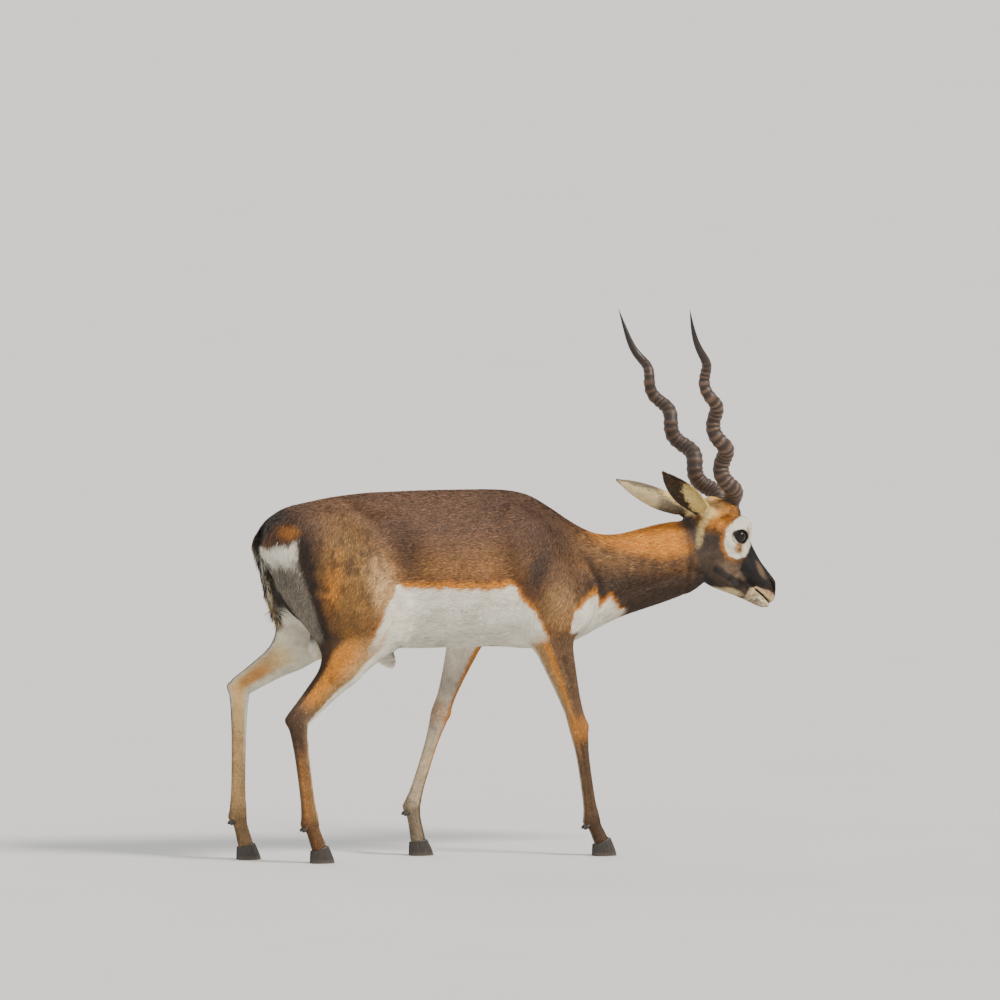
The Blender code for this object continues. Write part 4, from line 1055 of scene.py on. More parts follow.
def make_skin(flesh):
    """Points and quads of one skin over the animal, its head finer, and how many points are the body's."""
    depth = lambda p: flesh(p) + coat_depth(p)
    sink = lambda p: SEAM_SINK * rise(head_side(p), -0.004, 0)
    back = lambda p: np.maximum(depth(p) + sink(p), head_side(p) - OVERLAP)
    front = lambda p: np.maximum(depth(p), -head_side(p))
    found = []
    for field, (low, high, step) in ((back, BODY_BOX), (front, HEAD_BOX)):
        points, quads = surface_of(field, low, high, step)
        found.append((settle(points, field), quads))
    (body, body_quads), (head, head_quads) = found
    return np.vstack([body, head]), np.vstack([body_quads, head_quads + len(body)]), len(body)


def noise(points, size, seed):
    """Smooth random values from 0 to 1 that change over about size metres."""
    grid = np.random.default_rng(seed).random((NOISE_GRID,) * 3)
    at = points / size + seed * 7.3 + 1000
    cell = np.floor(at).astype(int)
    part = at - cell
    part = part * part * (3 - 2 * part)
    total = np.zeros(len(points))
    for corner in CORNERS:
        weight = np.where(corner, part, 1 - part).prod(axis=1)
        total += weight * grid[tuple(((cell + corner) % NOISE_GRID).T)]
    return total


def flat(row, points):
    """The same row for every point."""
    return np.tile(row, (len(points), 1)).astype(float)


def layered(rows, layers):
    """Rows with others laid over them in turn, each by a share for each point."""
    for row, share in layers:
        share = np.clip(share, 0, 1)[:, None]
        rows = rows * (1 - share) + np.array(row) * share
    return rows


def spot(x, z, centre, radii, turn=0.0, soft=0.4):
    """1 inside an oval of the side view, 0 outside, with a soft edge."""
    angle = math.radians(turn)
    dx, dz = x - centre[0], z - centre[1]
    along = (dx * math.cos(angle) + dz * math.sin(angle)) / radii[0]
    up = (dz * math.cos(angle) - dx * math.sin(angle)) / radii[1]
    return 1 - rise(np.hypot(along, up), 1 - soft, 1 + soft)


def fall(value, low, high):
    """1 below low, 0 above high, and a smooth step between."""
    return 1 - rise(value, low, high)


def spots(x, z, rows):
    """Layers of ovals in the side view: colour, centre, radii, turn, softness and strength."""
    return [(row[0], spot(x, z, *row[1:5]) * row[5]) for row in rows]


def edge_height(x, line):
    """How high a line of points is at each x."""
    return np.interp(x, *np.array(line).T)


def to_line(x, z, line):
    """Distance in the side view to a line of points, and how far along it, from 0 to 1."""
    best, share = np.full(len(x), 9.0), np.zeros(len(x))
    count = len(line) - 1
    for i, ((x0, z0), (x1, z1)) in enumerate(zip(line, line[1:])):
        run = (x1 - x0) ** 2 + (z1 - z0) ** 2
        t = np.clip(((x - x0) * (x1 - x0) + (z - z0) * (z1 - z0)) / run, 0, 1)
        far = np.hypot(x - x0 - t * (x1 - x0), z - z0 - t * (z1 - z0))
        closer = far < best
        best = np.where(closer, far, best)
        share = np.where(closer, (i + t) / count, share)
    return best, share


def near_line(x, z, line, full, gone):
    """1 by a line of points in the side view, 0 away from it."""
    return fall(to_line(x, z, line)[0], full, gone)


def leg_place(points, joints, spread, girth, side):
    """For each point: bone and share down a leg, turn round it in degrees, and distance from its bones.

    The turn is 0 in front, 90 outside, 180 behind and -90 inside.
    """
    x, y, z = points.T
    best = np.full(len(points), 9.0)
    place, ahead, outward = (np.zeros(len(points)) for _ in range(3))
    for i in range(len(joints) - 1):
        (x0, z0), (x1, z1) = joints[i], joints[i + 1]
        length = math.hypot(x1 - x0, z1 - z0)
        t = ((x - x0) * (x1 - x0) + (z - z0) * (z1 - z0)) / length**2
        low, high = (-9 if i == 0 else 0), (9 if i == len(joints) - 2 else 1)
        t = np.clip(t, low, high)
        forward = (-(z1 - z0) * (x - x0) + (x1 - x0) * (z - z0)) / length
        past = np.hypot(x - x0 - t * (x1 - x0), z - z0 - t * (z1 - z0))
        aside = side * y - (spread[i] + (spread[i + 1] - spread[i]) * np.clip(t, 0, 1))
        far = np.hypot(past, aside)
        closer = far < best
        best = np.where(closer, far, best)
        place = np.where(closer, i + t, place)
        ahead = np.where(closer, forward, ahead)
        outward = np.where(closer, aside, outward)
    rows = np.array(girth)
    depth, width = (np.interp(place, rows[:, 0], rows[:, i]) for i in (1, 2))
    return place, np.degrees(np.arctan2(outward / width, ahead / depth)), best / np.maximum(depth, width)


def between(turn, low, high, soft=14.0):
    """1 where a turn in degrees lies between two others, with soft edges; high may pass 180."""
    middle, half = (low + high) / 2, (high - low) / 2
    away = np.abs((turn - middle + 180) % 360 - 180)
    return fall(away, half - soft, half + soft)


def trunk_marks(points):
    """Back, flanks, shoulder, haunch and neck, without their white."""
    x, y, z = points.T
    mottled = rise(noise(points * (1.0, 1.0, 0.6), 0.011, 14), 0.42, 0.78)
    neck = rise(x, 0.130, 0.200)
    streaky = noise(points * (2.2, 2.2, 0.5), 0.016, 15)
    nape = rise(z - edge_height(x, NAPE_EDGE), -0.016, 0.010) * rise(x, 0.175, 0.240)
    behind_ear = spot(x, z, (0.402, 0.731), (0.028, 0.012), -5, 0.5) * rise(np.abs(y), 0.010, 0.026)
    return layered(flat(BACK, points), [
        (FLANK, rise(z, 0.72, 0.62)),
        (LOW_FLANK, rise(z, 0.635, 0.600) * 0.85),
        *spots(x, z, TRUNK_SPOTS),
        (SHOULDER, spot(x, z, (-0.370, 0.650), (0.105, 0.115), 0, 0.5) * mottled * 0.65),
        (NECK, neck * rise(z, 0.58, 0.62)),
        (LOW_NECK, neck * rise(z, 0.635, 0.590)),
        (SHOULDER, neck * rise(streaky, 0.50, 0.85) * 0.6),
        (TAN, neck * rise(streaky, 0.40, 0.15) * rise(z, 0.585, 0.625) * 0.35),
        (ORANGE, nape * (0.65 + 0.35 * rise(x, 0.23, 0.31))),
        (DARK, behind_ear * 0.85),
        # painted shade along the hollow where the neck meets the shoulder
        (DARK, near_line(x, z, NECK_HOLLOW_SHADE, 0.005, 0.018) * 0.7),
    ])


def white_marks(points, colours, shift):
    """The white of belly, chest, thigh and rump, with the orange that borders it, and painted shade on the
    lower rump and in the cleft by the tail.

    shift is how far behind its place on the right side each point's leg stands.
    """
    x, y, z = points.T
    out, along = np.abs(y), x + shift
    wobble = (noise(points, 0.012, 3) - 0.5) * 0.010
    above = z + wobble - edge_height(along, BELLY_EDGE)
    inner = fall(out, 0.030, 0.050)
    above = np.where(along > -0.27, above - 0.10 * inner * rise(z, 0.60, 0.50), above)
    trunk = rise(along, -0.315, -0.29) * fall(x, 0.262, 0.285)
    far, _ = to_line(along, z, THIGH_STRIP)
    band, _ = to_line(along, z, HAUNCH_REAR)
    outer = rise(out, 0.055, 0.075)
    slant = 0.35 * (0.662 - z) * (z < 0.662)
    rear = rise(-along, 0.466 - slant, 0.480 - slant)
    low = rise(z, 0.470, 0.500)
    top = fall(z + wobble - 0.25 * (x + 0.48), 0.697, 0.706)
    bright = rise(z + 3 * wobble, 0.640, 0.676) * top
    return layered(colours, [
        (ORANGE, fall(above, 0.006, 0.020) * trunk * rise(z, 0.40, 0.44) * 0.8),
        (WHITE, fall(above, -0.004, 0.003) * trunk),
        # strip down the front of the thigh
        (ORANGE, fall(far, 0.010, 0.020) * rise(z, 0.43, 0.47) * rise(along, -0.25, -0.29) * 0.6),
        (WHITE, fall(far + wobble, 0.008, 0.013) * rise(z, 0.43, 0.45)),
        # groin and the inside of the thighs
        (WHITE, fall(out, 0.035, 0.055) * rise(z, 0.60, 0.54) * fall(x, -0.25, -0.20)),
        # band along the rear of the thigh, and the rump: white at its top, grey below as painted shade, and
        # near black by the tail as painted shade in the cleft
        (SHOULDER, fall(band + 2 * wobble, 0.014, 0.056) * outer * 0.8),
        (DARK, fall(band + wobble, 0.012, 0.022) * outer * 0.92),
        (SHADED_WHITE, rear * low * top),
        (WHITE, rear * bright * rise(out, 0.026, 0.036)),
        (DARK, rear * fall(out, 0.026, 0.042) * low * (1 - 0.5 * bright) * 0.9),
        (DARK, spot(x, z, (-0.497, 0.737), (0.036, 0.030), 40, 0.7) * 0.65),
        (ORANGE, spot(x, z, (-0.484, 0.722), (0.017, 0.012), 0, 0.8) * 0.40),
    ])


def hind_marks(place, turn):
    """A hind leg: golden, dark behind, white before and inside."""
    lower = rise(place, 2.15, 2.5)
    inside = between(turn, -150, -70, 20)
    strip = 56 - 18 * rise(place, 1.5, 2.1)
    front = rise(turn, -62, -50) * fall(turn, strip - 5, strip + 5)
    return layered(flat(GOLD, place), [
        (BEIGE, between(turn, 40, 100, 20) * fall(place, 1.3, 1.9) * 0.65),
        (ORANGE, between(turn, 85, 140, 20) * rise(place, 1.1, 1.4) * 0.8),
        (DARK, between(turn, 140, 190, 8) * rise(place, 1.15, 1.35) * fall(place, 2.2, 2.6) * 0.9),
        (GREY_BROWN, between(turn, 30, 190, 20) * rise(place, 1.75, 1.95) * (0.9 - 0.5 * lower)),
        (SHOULDER, between(turn, 70, 190, 20) * rise(place, 1.85, 1.98) * (0.75 - 0.5 * lower)),
        (WHITE, between(turn, -168, -40, 12) * (1 - rise(place, 1.9, 2.5) * 0.7)),
        (PALE_YELLOW, inside * rise(place, 1.35, 1.6) * 0.75),
        (ORANGE, inside * spot(place, turn / 100, (1.85, -1.0), (0.16, 0.30)) * 0.6),
        (ORANGE, inside * rise(place, 1.45, 1.7) * fall(place, 2.1, 2.4) * 0.35),
        (TAN, between(turn, -170, -60, 15) * rise(place, 2.05, 2.4) * 0.8),
        (GOLD, between(turn, 10, 60, 20) * rise(place, 2.1, 2.4) * 0.8),
        (WHITE, front * (1 - rise(place, 2.2, 2.8) * 0.75)),
        (ORANGE, front * rise(place, 2.3, 2.8) * 0.5),
        (SHOULDER, rise(place, 2.85, 3.05) * 0.65),
    ])


def fore_marks(place, turn):
    """A foreleg: dark brown before, tan behind, white inside, with an orange line and knee."""
    inside = between(turn, -190, -50, 20)
    return layered(flat(LEG_BROWN, place), [
        (SHOULDER, between(turn, -20, 95, 25) * 0.50),
        (SHOULDER, rise(place, 2.05, 2.25) * 0.45),
        (TAN, between(turn, 118, 180, 10) * fall(place, 1.9, 2.4) * 0.9),
        (ORANGE, between(turn, 108, 128, 8) * fall(place, 1.6, 2.4) * 0.8),
        (ORANGE, between(turn, -62, -20) * fall(place, 2.4, 2.9) * 0.8),
        (WHITE, between(turn, -195, -58, 12) * (1 - 0.35 * rise(place, 2.0, 2.5))),
        (ORANGE, rise(place, 1.82, 1.95) * fall(place, 2.05, 2.2) * 0.45),
        (LEG_BROWN, inside * rise(place, 1.25, 1.75) * 0.5),
        (CREAM, inside * rise(place, 2.1, 2.4) * 0.35),
        (SHOULDER, rise(place, 2.85, 3.05) * 0.6),
    ])


def cheek_marks(s, t, place, speck, wobble):
    """Crown, the pale hair before the ear and the streak below it, cheek and jaw."""
    streak, share = to_line(s, t, CHEEK_STREAK)
    pale = fall(streak + wobble, 0.002, 0.011) * (1 - 0.75 * share)
    under = rise(-t, 0.078, 0.088) * fall(s, -0.09, -0.06)
    colours = layered(flat(CHEEK, s), [
        # painted shade: a dark patch behind the rear edge of the jaw
        (DARK, spot(s, t, (-0.197, -0.026), (0.014, 0.036), -25, 0.8) * 0.75),
        (ORANGE, spot(s, t, (-0.222, 0.034), (0.036, 0.040), -20, 0.5) * 0.85),
        (SHOULDER, near_line(s, t, CROWN_STREAK, 0.002, 0.010) * rise(speck, 0.30, 0.75) * 0.75),
        (PALE_YELLOW, pale * 0.9),
        *spots(s, t, CHEEK_SPOTS),
        (FACE_DARK, near_line(s, t, JAW_STREAK, 0.004, 0.011) * 0.85),
        (FACE_DARK, under * 0.8),
    ])
    return colours * (0.62 + 0.76 * noise(place * (0.45, 1.0, 1.0), 0.0045, 7))[:, None]


def nose_marks(s, t, out, place, speck, wobble):
    """Layers of the dark bridge of the nose and forehead, and of lips, chin and throat."""
    bridge = rise(s + wobble, -0.121, -0.112) * rise(t + wobble - edge_height(s, DARK_EDGE), -0.003, 0.003)
    brow = fall(out, 0.012, 0.022) * rise(t, 0.0, 0.02) * rise(s, -0.222, -0.206)
    lips = rise(edge_height(s, DARK_EDGE) - t - wobble, 0.0, 0.003) * rise(s, -0.052, -0.044)
    above_mouth = MOUTH_LINE + 0.009 - t
    chin = rise(-t, 0.037, 0.041) * rise(s, -0.056, -0.050)
    blotch = rise(noise(place, 0.0045, 9), 0.45, 0.70)
    throat = fall(out, 0.012, 0.020) * rise(-t, 0.066, 0.074) * fall(s, -0.060, -0.055)
    return [
        (FACE_DARK, np.maximum(bridge, brow)),
        (GREY_BROWN, spot(s, t, (-0.060, 0.005), (0.020, 0.0075), -22, 0.5) * 0.9),
        (SHOULDER, rise(s, -0.040, -0.025) * bridge * 0.4),
        (PINK, lips * 0.9),
        (CREAM, lips * rise(above_mouth, -0.003, 0.003) * 0.9),
        (SHOULDER, lips * rise(speck, 0.62, 0.85) * 0.6),
        (CHIN, chin * (0.55 + 0.45 * rise(speck, 0.3, 0.6))),
        (WHITE, chin * rise(s, -0.040, -0.020) * rise(speck, 0.45, 0.7) * 0.7),
        (GREY_BROWN, chin * blotch * 0.8),
        (SHOULDER, lips * blotch * rise(above_mouth, 0.003, -0.003) * 0.5),
        (SHOULDER, near_line(s, t, MOUTH_CORNER, 0.002, 0.005) * 0.9),
        (CREAM, spot(s, t, (-0.080, -0.072), (0.023, 0.0065), 22, 0.5)),
        (CREAM, throat * rise(s, -0.125, -0.100)),
        (DARK, rise(np.abs(t - MOUTH_LINE), 0.0030, 0.0016) * rise(s, -0.046, -0.040)),
    ]


def eye_marks(s, t, out, speck, wobble):
    """Layers of the white ring of the eye, with the tan gland below the eye."""
    ahead, above = s - RING_CENTRE[0], t - RING_CENTRE[1]
    angle = np.degrees(np.arctan2(above, ahead))
    past = np.hypot(ahead, above) + wobble - edge_height(angle, RING_EDGE)
    beside = rise(out, 0.012, 0.020)
    rim = fall(past + 0.008 * (speck - 0.5), 0.000, 0.014) * between(angle, -190, -65, 40)
    return [
        (ORANGE, rim * beside * 0.55),
        (WHITE, fall(past, -0.0025, 0.0015) * beside),
        (TAN, near_line(s, t, BROW_MARK, 0.002, 0.006) * 0.7 * beside),
        (TAN, spot(s, t, (-0.1375, 0.0030), (0.0125, 0.0110), -25, 0.40) * beside),
        (DARK, near_line(s, t, GLAND_SLIT, 0.0008, 0.0022) * 0.7 * beside),
    ]


def lid_share(place):
    """1 on the dark rims of the eye, 0 away from them, for places folded to the left side."""
    _, along, up = eye_axes(SIDES["left"])
    offset = place - EYE_PLACE
    ahead = (offset @ along * math.cos(EYE_SLANT) + offset @ up * math.sin(EYE_SLANT)) / EYE_DARK[0]
    above = (offset @ up * math.cos(EYE_SLANT) - offset @ along * math.sin(EYE_SLANT)) / EYE_DARK[1]
    return fall(np.hypot(ahead, above * (1 + 0.45 * np.maximum(-ahead, 0) ** 2)), 0.90, 1.04)


def head_marks(points):
    """The face: its dark bridge, the white round the eyes, pale lips and grizzled cheeks."""
    place = in_head(points)
    s, out, t = place[:, 0], np.abs(place[:, 1]), place[:, 2]
    folded = np.stack([s, out, t], axis=1)
    wobble = (noise(folded, 0.004, 5) - 0.5) * 0.004
    speck = noise(folded * (0.5, 1.0, 1.0), 0.0022, 6)
    return layered(cheek_marks(s, t, folded, speck, wobble), [
        *nose_marks(s, t, out, folded, speck, wobble),
        *eye_marks(s, t, out, speck, wobble),
        (FACE_DARK, lid_share(folded)),
        # painted shade: the openings of the nostrils near black
        (NOSTRIL_SHADE, near_line(s, t, NOSTRIL, 0.0016, 0.0032)),
    ])


def ear_marks(points, name):
    """Inside dark as painted shade in the cup, with pale hair along the front; behind pale along the rear,
    and grey at the root.
    """
    base, _, along, _, _ = ear_axes(name)
    share, _, far, radius, _, _ = ear_place(points, name)
    rising = unit(np.array((0.0, 0.0, 1.0)) - along * along[2])
    height = (points - base) @ rising / np.interp(share, EAR_ROWS[:, 0], EAR_ROWS[:, 1])
    height += (noise(points, 0.004, 8) - 0.5) * 0.5
    edge = np.interp(share, *EAR_PALE_EDGE)
    # inside the cup: dark brown as painted shade, with pale hair above its edge
    inner = layered(flat(LOW_NECK, points), [(PALE_YELLOW, rise(height - edge, -0.12, 0.12))])
    back = layered(flat(EAR_GREY, points), [
        (CREAM, rise(share, 0.36, 0.50) * fall(height, 0.1, 0.5)),
        (LOW_NECK, fall(share, 0.02, 0.25)),
        (PALE_YELLOW, rise(0.55 - share, 0.0, 0.2) * rise(height, 0.3, 0.6)),
    ])
    inside = fall(far - (radius - EAR_THICKNESS / 2), -0.0004, 0.0004)
    return layered(back, [(inner, inside), (SHOULDER, rise(share, 0.90, 0.98) * 0.7)])


def tail_marks(points):
    """Near black, with a pale stripe down each side and white hair below."""
    x, y, z = points.T
    turn = np.degrees(np.arctan2(np.abs(y), x - np.interp(z, TAIL_ROWS[:, 1], TAIL_ROWS[:, 0])))
    return layered(flat(DARK, points) * 0.8, [
        (CREAM, between(turn, 30, 75, 12) * rise(z, 0.690, 0.67) * 0.75),
        (WHITE, between(turn, 100, 130, 8) * rise(z, 0.70, 0.66) * 0.6),
    ])


def shares(points):
    """How much each point belongs to each region, adding up to 1, and its place on each leg."""
    x, y, z = points.T
    head = rise(x * 0.955 + z * 0.29, 0.571, 0.605)
    neck = rise(x * 0.913 + z * 0.408, 0.400, 0.440)
    found, placed = {}, {}
    for name in SIDES:
        share, _, far, radius, _, _ = ear_place(points, name)
        near = (np.abs(far - radius) < 0.006) | (far < radius)
        level = (share > -0.1) & (share < 1.1) & near & (far < 0.05)
        found["ear_" + name] = np.where(level, rise(share, 0.02, 0.14), 0.0)
    back, wide = (np.interp(z, TAIL_ROWS[:, 1], TAIL_ROWS[:, i]) for i in (0, 3))
    tail = (np.hypot(x - back, y * 0.7) < wide) & (z > 0.49) & (x < back + 0.012)
    found["tail"] = tail * rise(z, 0.718, 0.690)
    for name, side, *leg in legs():
        at = leg_place(points, *leg, side)
        placed[name] = at
        full = 1.30 if name.startswith("hind") else 1.15
        found[name] = rise(at[0], 1.0, full) * fall(at[2], 1.35, 1.7) * (side * y > 0.0) * (z < 0.56)
    left = 1.0
    for key in ("ear_right", "ear_left", "tail", "hind_right", "hind_left", "fore_right", "fore_left"):
        found[key] = found[key] * left
        left = left - found[key]
    found.update(head=head * left, neck=(1 - head) * neck * left, torso=(1 - head) * (1 - neck) * left)
    return found, placed


def markings(points):
    """The coat's colour at points of the skin, how much each belongs to each region, and its leg places."""
    found, placed = shares(points)
    x, y, z = points.T
    right, left = (np.interp(z, *np.array(HIND_JOINTS[name])[2::-1, ::-1].T) for name in SIDES)
    shift = np.where(y > 0, right - left, 0.0) * rise(x, -0.25, -0.30)
    total = white_marks(points, trunk_marks(points), shift) * (found["torso"] + found["neck"])[:, None]
    total += head_marks(points) * found["head"][:, None]
    total += tail_marks(points) * found["tail"][:, None]
    for name in SIDES:
        total += ear_marks(points, name) * found["ear_" + name][:, None]
        for leg, marks in (("hind_" + name, hind_marks), ("fore_" + name, fore_marks)):
            total += marks(*placed[leg][:2]) * found[leg][:, None]
    mottle = 0.72 + 0.24 * noise(points, 0.030, 11) + 0.32 * noise(points * (0.45, 1.0, 1.0), 0.006, 12)
    return total * mottle[:, None], found, placed


def smooth_normals(points, faces):
    """Outward normals of points, from the faces round them."""
    across = np.cross(points[faces[:, 2]] - points[faces[:, 0]], points[faces[:, 3]] - points[faces[:, 1]])
    total = np.zeros_like(points)
    for i in range(4):
        for axis in range(3):
            total[:, axis] += np.bincount(faces[:, i], across[:, axis], len(points))
    return unit(total)


def colour_layer(mesh, colours):
    """Stores a colour for each point of a mesh, for its material to read."""
    layer = mesh.color_attributes.new("coat", "FLOAT_COLOR", "POINT")
    full = np.ones((len(colours), 4), np.float32)
    full[:, :3] = colours
    layer.data.foreach_set("color", full.ravel())


def bone_lines(placed, name):
    """Direction of the leg's bone at each point."""
    joints = next(j for n, _, j, _, _ in legs() if n == name)
    lines = unit(np.diff(np.array(joints), axis=0))
    bone = np.clip(placed[name][0].astype(int), 0, len(lines) - 1)
    return np.stack([lines[bone, 0], np.zeros(len(bone)), lines[bone, 1]], axis=1)


def lie_of_coat(points, normals, found, placed):
    """The way the hair points at each point of the skin."""
    x, y, z = points.T
    place = in_head(points)
    limb = fall(z, 0.47, 0.53) * rise(np.abs(y), 0.03, 0.05)
    # trunk, then haunch, rump, shoulder, foreleg and hind leg
    lie = layered(flat((-1.0, 0.0, -0.22), points), [
        ((-0.45, 0.0, -0.90), rise(x, -0.22, -0.36) * fall(z, 0.74, 0.785)),
        ((-0.15, 0.0, -1.0), rise(x, -0.455, -0.485)),
        ((-0.50, 0.0, -0.85), rise(x, -0.02, 0.06) * fall(z, 0.70, 0.76) * fall(x, 0.20, 0.26)),
        ((-0.12, 0.0, -1.0), limb * rise(x, 0.0, 0.05)),
        ((-0.6, 0.0, -0.8), limb * rise(x, -0.25, -0.32)),
    ])
    neck = layered(flat((-1.0, 0.0, -0.16), points), [((-0.78, 0.0, -0.6), rise(-normals[:, 2], -0.2, 0.9))])
    face = layered(flat((-1.0, 0.0, 0.06), points), [((-0.80, 0.0, -0.55), rise(-place[:, 2], 0.02, 0.06))])
    # away from the eye
    offset = place - EYE_PLACE
    offset[:, 1] = 0
    near_eye = fall(np.linalg.norm(offset, axis=1), 0.014, 0.032)
    face = face + unit(offset) * (near_eye * 0.9)[:, None]
    total = lie * found["torso"][:, None]
    total += neck * found["neck"][:, None]
    total += face @ np.array(head_turn())[:3, :3].T * found["head"][:, None]
    for name in SIDES:
        total += ear_axes(name)[2] * found["ear_" + name][:, None]
    total += np.array((0.05, 0.0, -1.0)) * found["tail"][:, None]
    for name in placed:
        total += bone_lines(placed, name) * found[name][:, None]
    total -= normals * (total * normals).sum(axis=1)[:, None]
    return unit(total)


def bare_places(s, t):
    """Above 0 on the parts of the face without hair: nose, mouth, nostril and gland."""
    bare = rise(s, -0.013, -0.007) * rise(t, -0.030, -0.024)
    bare = np.maximum(bare, (np.abs(t - MOUTH_LINE) < 0.0022) & (s > -0.046))
    for line, reach in ((NOSTRIL, 0.0030), (GLAND_BARE, 0.0018)):
        bare = np.maximum(bare, to_line(s, t, line)[0] < reach)
    return bare


def tuft_sizes(points, normals, found, placed):
    """Tufts on a square metre, length, width and stand at each point of the skin."""
    x, y, z = points.T
    place = in_head(points)
    s, side_y, t = place.T
    trunk, face = found["torso"], found["head"]
    sizes = np.zeros((len(points), 4))
    for name, share in found.items():
        sizes += share[:, None] * np.array(TUFTS[name.split("_")[0]])
    # longer on belly, rump, chest and sheath, shorter towards the knees and on the muzzle
    longer = 1 + 0.25 * trunk * rise(-normals[:, 2], 0.3, 0.9)
    longer += 0.5 * trunk * rise(x, -0.475, -0.50) * rise(z, 0.62, 0.65)
    longer += 0.9 * spot(x, z, (-0.262, 0.445), (0.045, 0.030)) * (np.abs(y) < 0.03)
    shorter = 1 - 0.45 * face * rise(s, -0.12, -0.04) + 0.7 * face * rise(-s, 0.195, 0.235)
    for name, (at, _, _) in placed.items():
        shorter = shorter - 0.30 * found[name] * rise(at, 1.7, 2.3)
    sizes[:, 1] *= longer * shorter
    sizes[:, 2] *= np.sqrt(shorter)
    sizes[:, 3] *= longer * shorter
    # none in the opening of the eye, and short round it
    for side in SIDES.values():
        _, along, up = eye_axes(side)
        offset = place - mirrored(EYE_PLACE, side)
        wide, high = (half + 0.0015 for half in EYE_OPENING)
        opening = np.hypot(offset @ along / wide, offset @ up / high)
        beside = side_y * side > 0
        sizes[:, 0] *= np.where((opening < 1) & beside, 0.0, 1.0)
        sizes[:, 1] *= np.where(beside, 0.4 + 0.6 * rise(opening, 1.0, 1.7), 1.0)
    sizes[:, 0] *= 1 - bare_places(s, t) * (face > 0.5)
    sizes[:, 0] *= z > HAIR_FROM
    return sizes


def scatter(spots, quads, density, rng):
    """Random places on the quads: their corners, bilinear weights, and the corner each takes after."""
    corners = spots[quads]
    across = np.cross(corners[:, 2] - corners[:, 0], corners[:, 3] - corners[:, 1])
    wanted = 0.5 * np.linalg.norm(across, axis=1) * density[quads].mean(axis=1)
    count = np.floor(wanted + rng.random(len(quads))).astype(int)
    face = np.repeat(np.arange(len(quads)), count)
    a, b = rng.random((2, len(face)))
    weights = np.stack([(1 - a) * (1 - b), a * (1 - b), a * b, (1 - a) * b], axis=1)
    pick = (rng.random(len(face))[:, None] > np.cumsum(weights, axis=1)).sum(axis=1).clip(0, 3)
    return quads[face], weights, quads[face, pick]


def unwrap(region, points, on_leg):
    """Where points lie on a flat unwrap of a region's own shape, from 0 to 1 both ways."""
    x, y, z = points.T
    name = region.split("_")[0]
    if name in ("torso", "neck"):
        round_it, along = np.arctan2(y, z - 0.62) / math.tau + 0.5, (x + 0.56) / 1.06
    elif name == "head":
        s, side_y, t = in_head(points).T
        round_it, along = np.arctan2(side_y, t + 0.01) / math.tau + 0.5, (s + 0.30) / 0.34
    elif name == "ear":
        share, turn, far, radius, bend, _ = ear_place(points, region[4:])
        inside = far < radius - EAR_THICKNESS / 2
        round_it = (turn / bend / 2 + 0.5) * 0.44 + np.where(inside, 0.03, 0.53)
        along = (share + 0.1) / 1.2
    elif name == "tail":
        round_it, along = np.arctan2(y, x + 0.52) / math.tau + 0.5, (z - 0.48) / 0.26
    else:
        place, turn, _ = on_leg
        round_it, along = turn / 360 + 0.5, (place + 0.5) / 5
    return 0.006 + 0.988 * np.clip(np.stack([round_it, along], axis=1), 0, 1)


def grow_tufts(flesh, skin, lie, sizes, colours, regions, rng):
    """Flat pointed tufts over the skin: their corners, colours, roots and regions."""
    spots, quads, normals = skin
    corner, weights, near = scatter(spots, quads, sizes[:, 0], rng)
    count = len(near)
    mean = lambda values: (values[corner] * weights[:, :, None]).sum(axis=1)
    roots, up, size = mean(spots), unit(mean(normals)), mean(sizes)
    along = lie[near] + (rng.random((count, 3)) - 0.5) * 0.42
    along = unit(along - up * (along * up).sum(axis=1)[:, None])
    length = size[:, 1] * (0.75 + 0.5 * rng.random(count))
    width = size[:, 2] * (0.75 + 0.5 * rng.random(count))
    stand = size[:, 3] * (0.35 + 0.65 * rng.random(count))
    roll = (rng.random(count) - 0.5) * 0.9
    across = np.cross(up, along)
    across = across * np.cos(roll)[:, None] + up * np.sin(roll)[:, None]
    middle = roots + along * (TUFT_MIDDLE * length)[:, None]
    tips = roots + along * length[:, None]
    depth = lambda p: np.clip(flesh(p) + coat_depth(p), -0.008, 0.008)[:, None]
    middle += up * ((0.6 * stand)[:, None] - depth(middle))
    tips += up * (stand[:, None] - depth(tips))
    half = across * (width / 2)[:, None]
    corners = np.stack([roots - up * TUFT_SUNK, middle - half, middle + half, tips], axis=1)
    paleness = colours[near].mean(axis=1)
    tone = np.exp(rng.standard_normal(count) * 0.30 * (1 - 0.75 * rise(paleness, 0.15, 0.6)))
    kind = rng.random(count)
    tone = np.where((kind < 0.10) & (paleness < 0.35), tone * 0.5, tone)
    tone = np.where((kind > 0.90) & (paleness < 0.35), tone * 1.6, tone)
    tint = colours[near][:, None, :] * (tone[:, None] * np.array(TUFT_SHADE))[:, :, None]
    return corners, np.clip(tint, 0, TINT_LIMIT), roots, regions[near]


def tuft_mesh(name, corners, tint, flat):
    """One mesh of many tufts, with its colours and its unwrap."""
    count = len(corners)
    first = (np.arange(count) * 4)[:, None]
    faces = np.hstack([first, first + 1, first + 2, first + 1, first + 3, first + 2]).reshape(-1, 3)
    mesh = mesh_of(name, corners.reshape(-1, 3), faces)
    colour_layer(mesh, tint.reshape(-1, 3))
    patch = np.array([(0, -PATCH), (-PATCH, 0), (PATCH, 0), (0, PATCH)])
    spots = (flat[:, None, :] + patch).reshape(-1, 2)
    layer = mesh.uv_layers.new(name="OFBake")
    layer.data.foreach_set("uv", spots[faces.ravel()].astype(np.float32).ravel())
    return new_object(name, mesh)


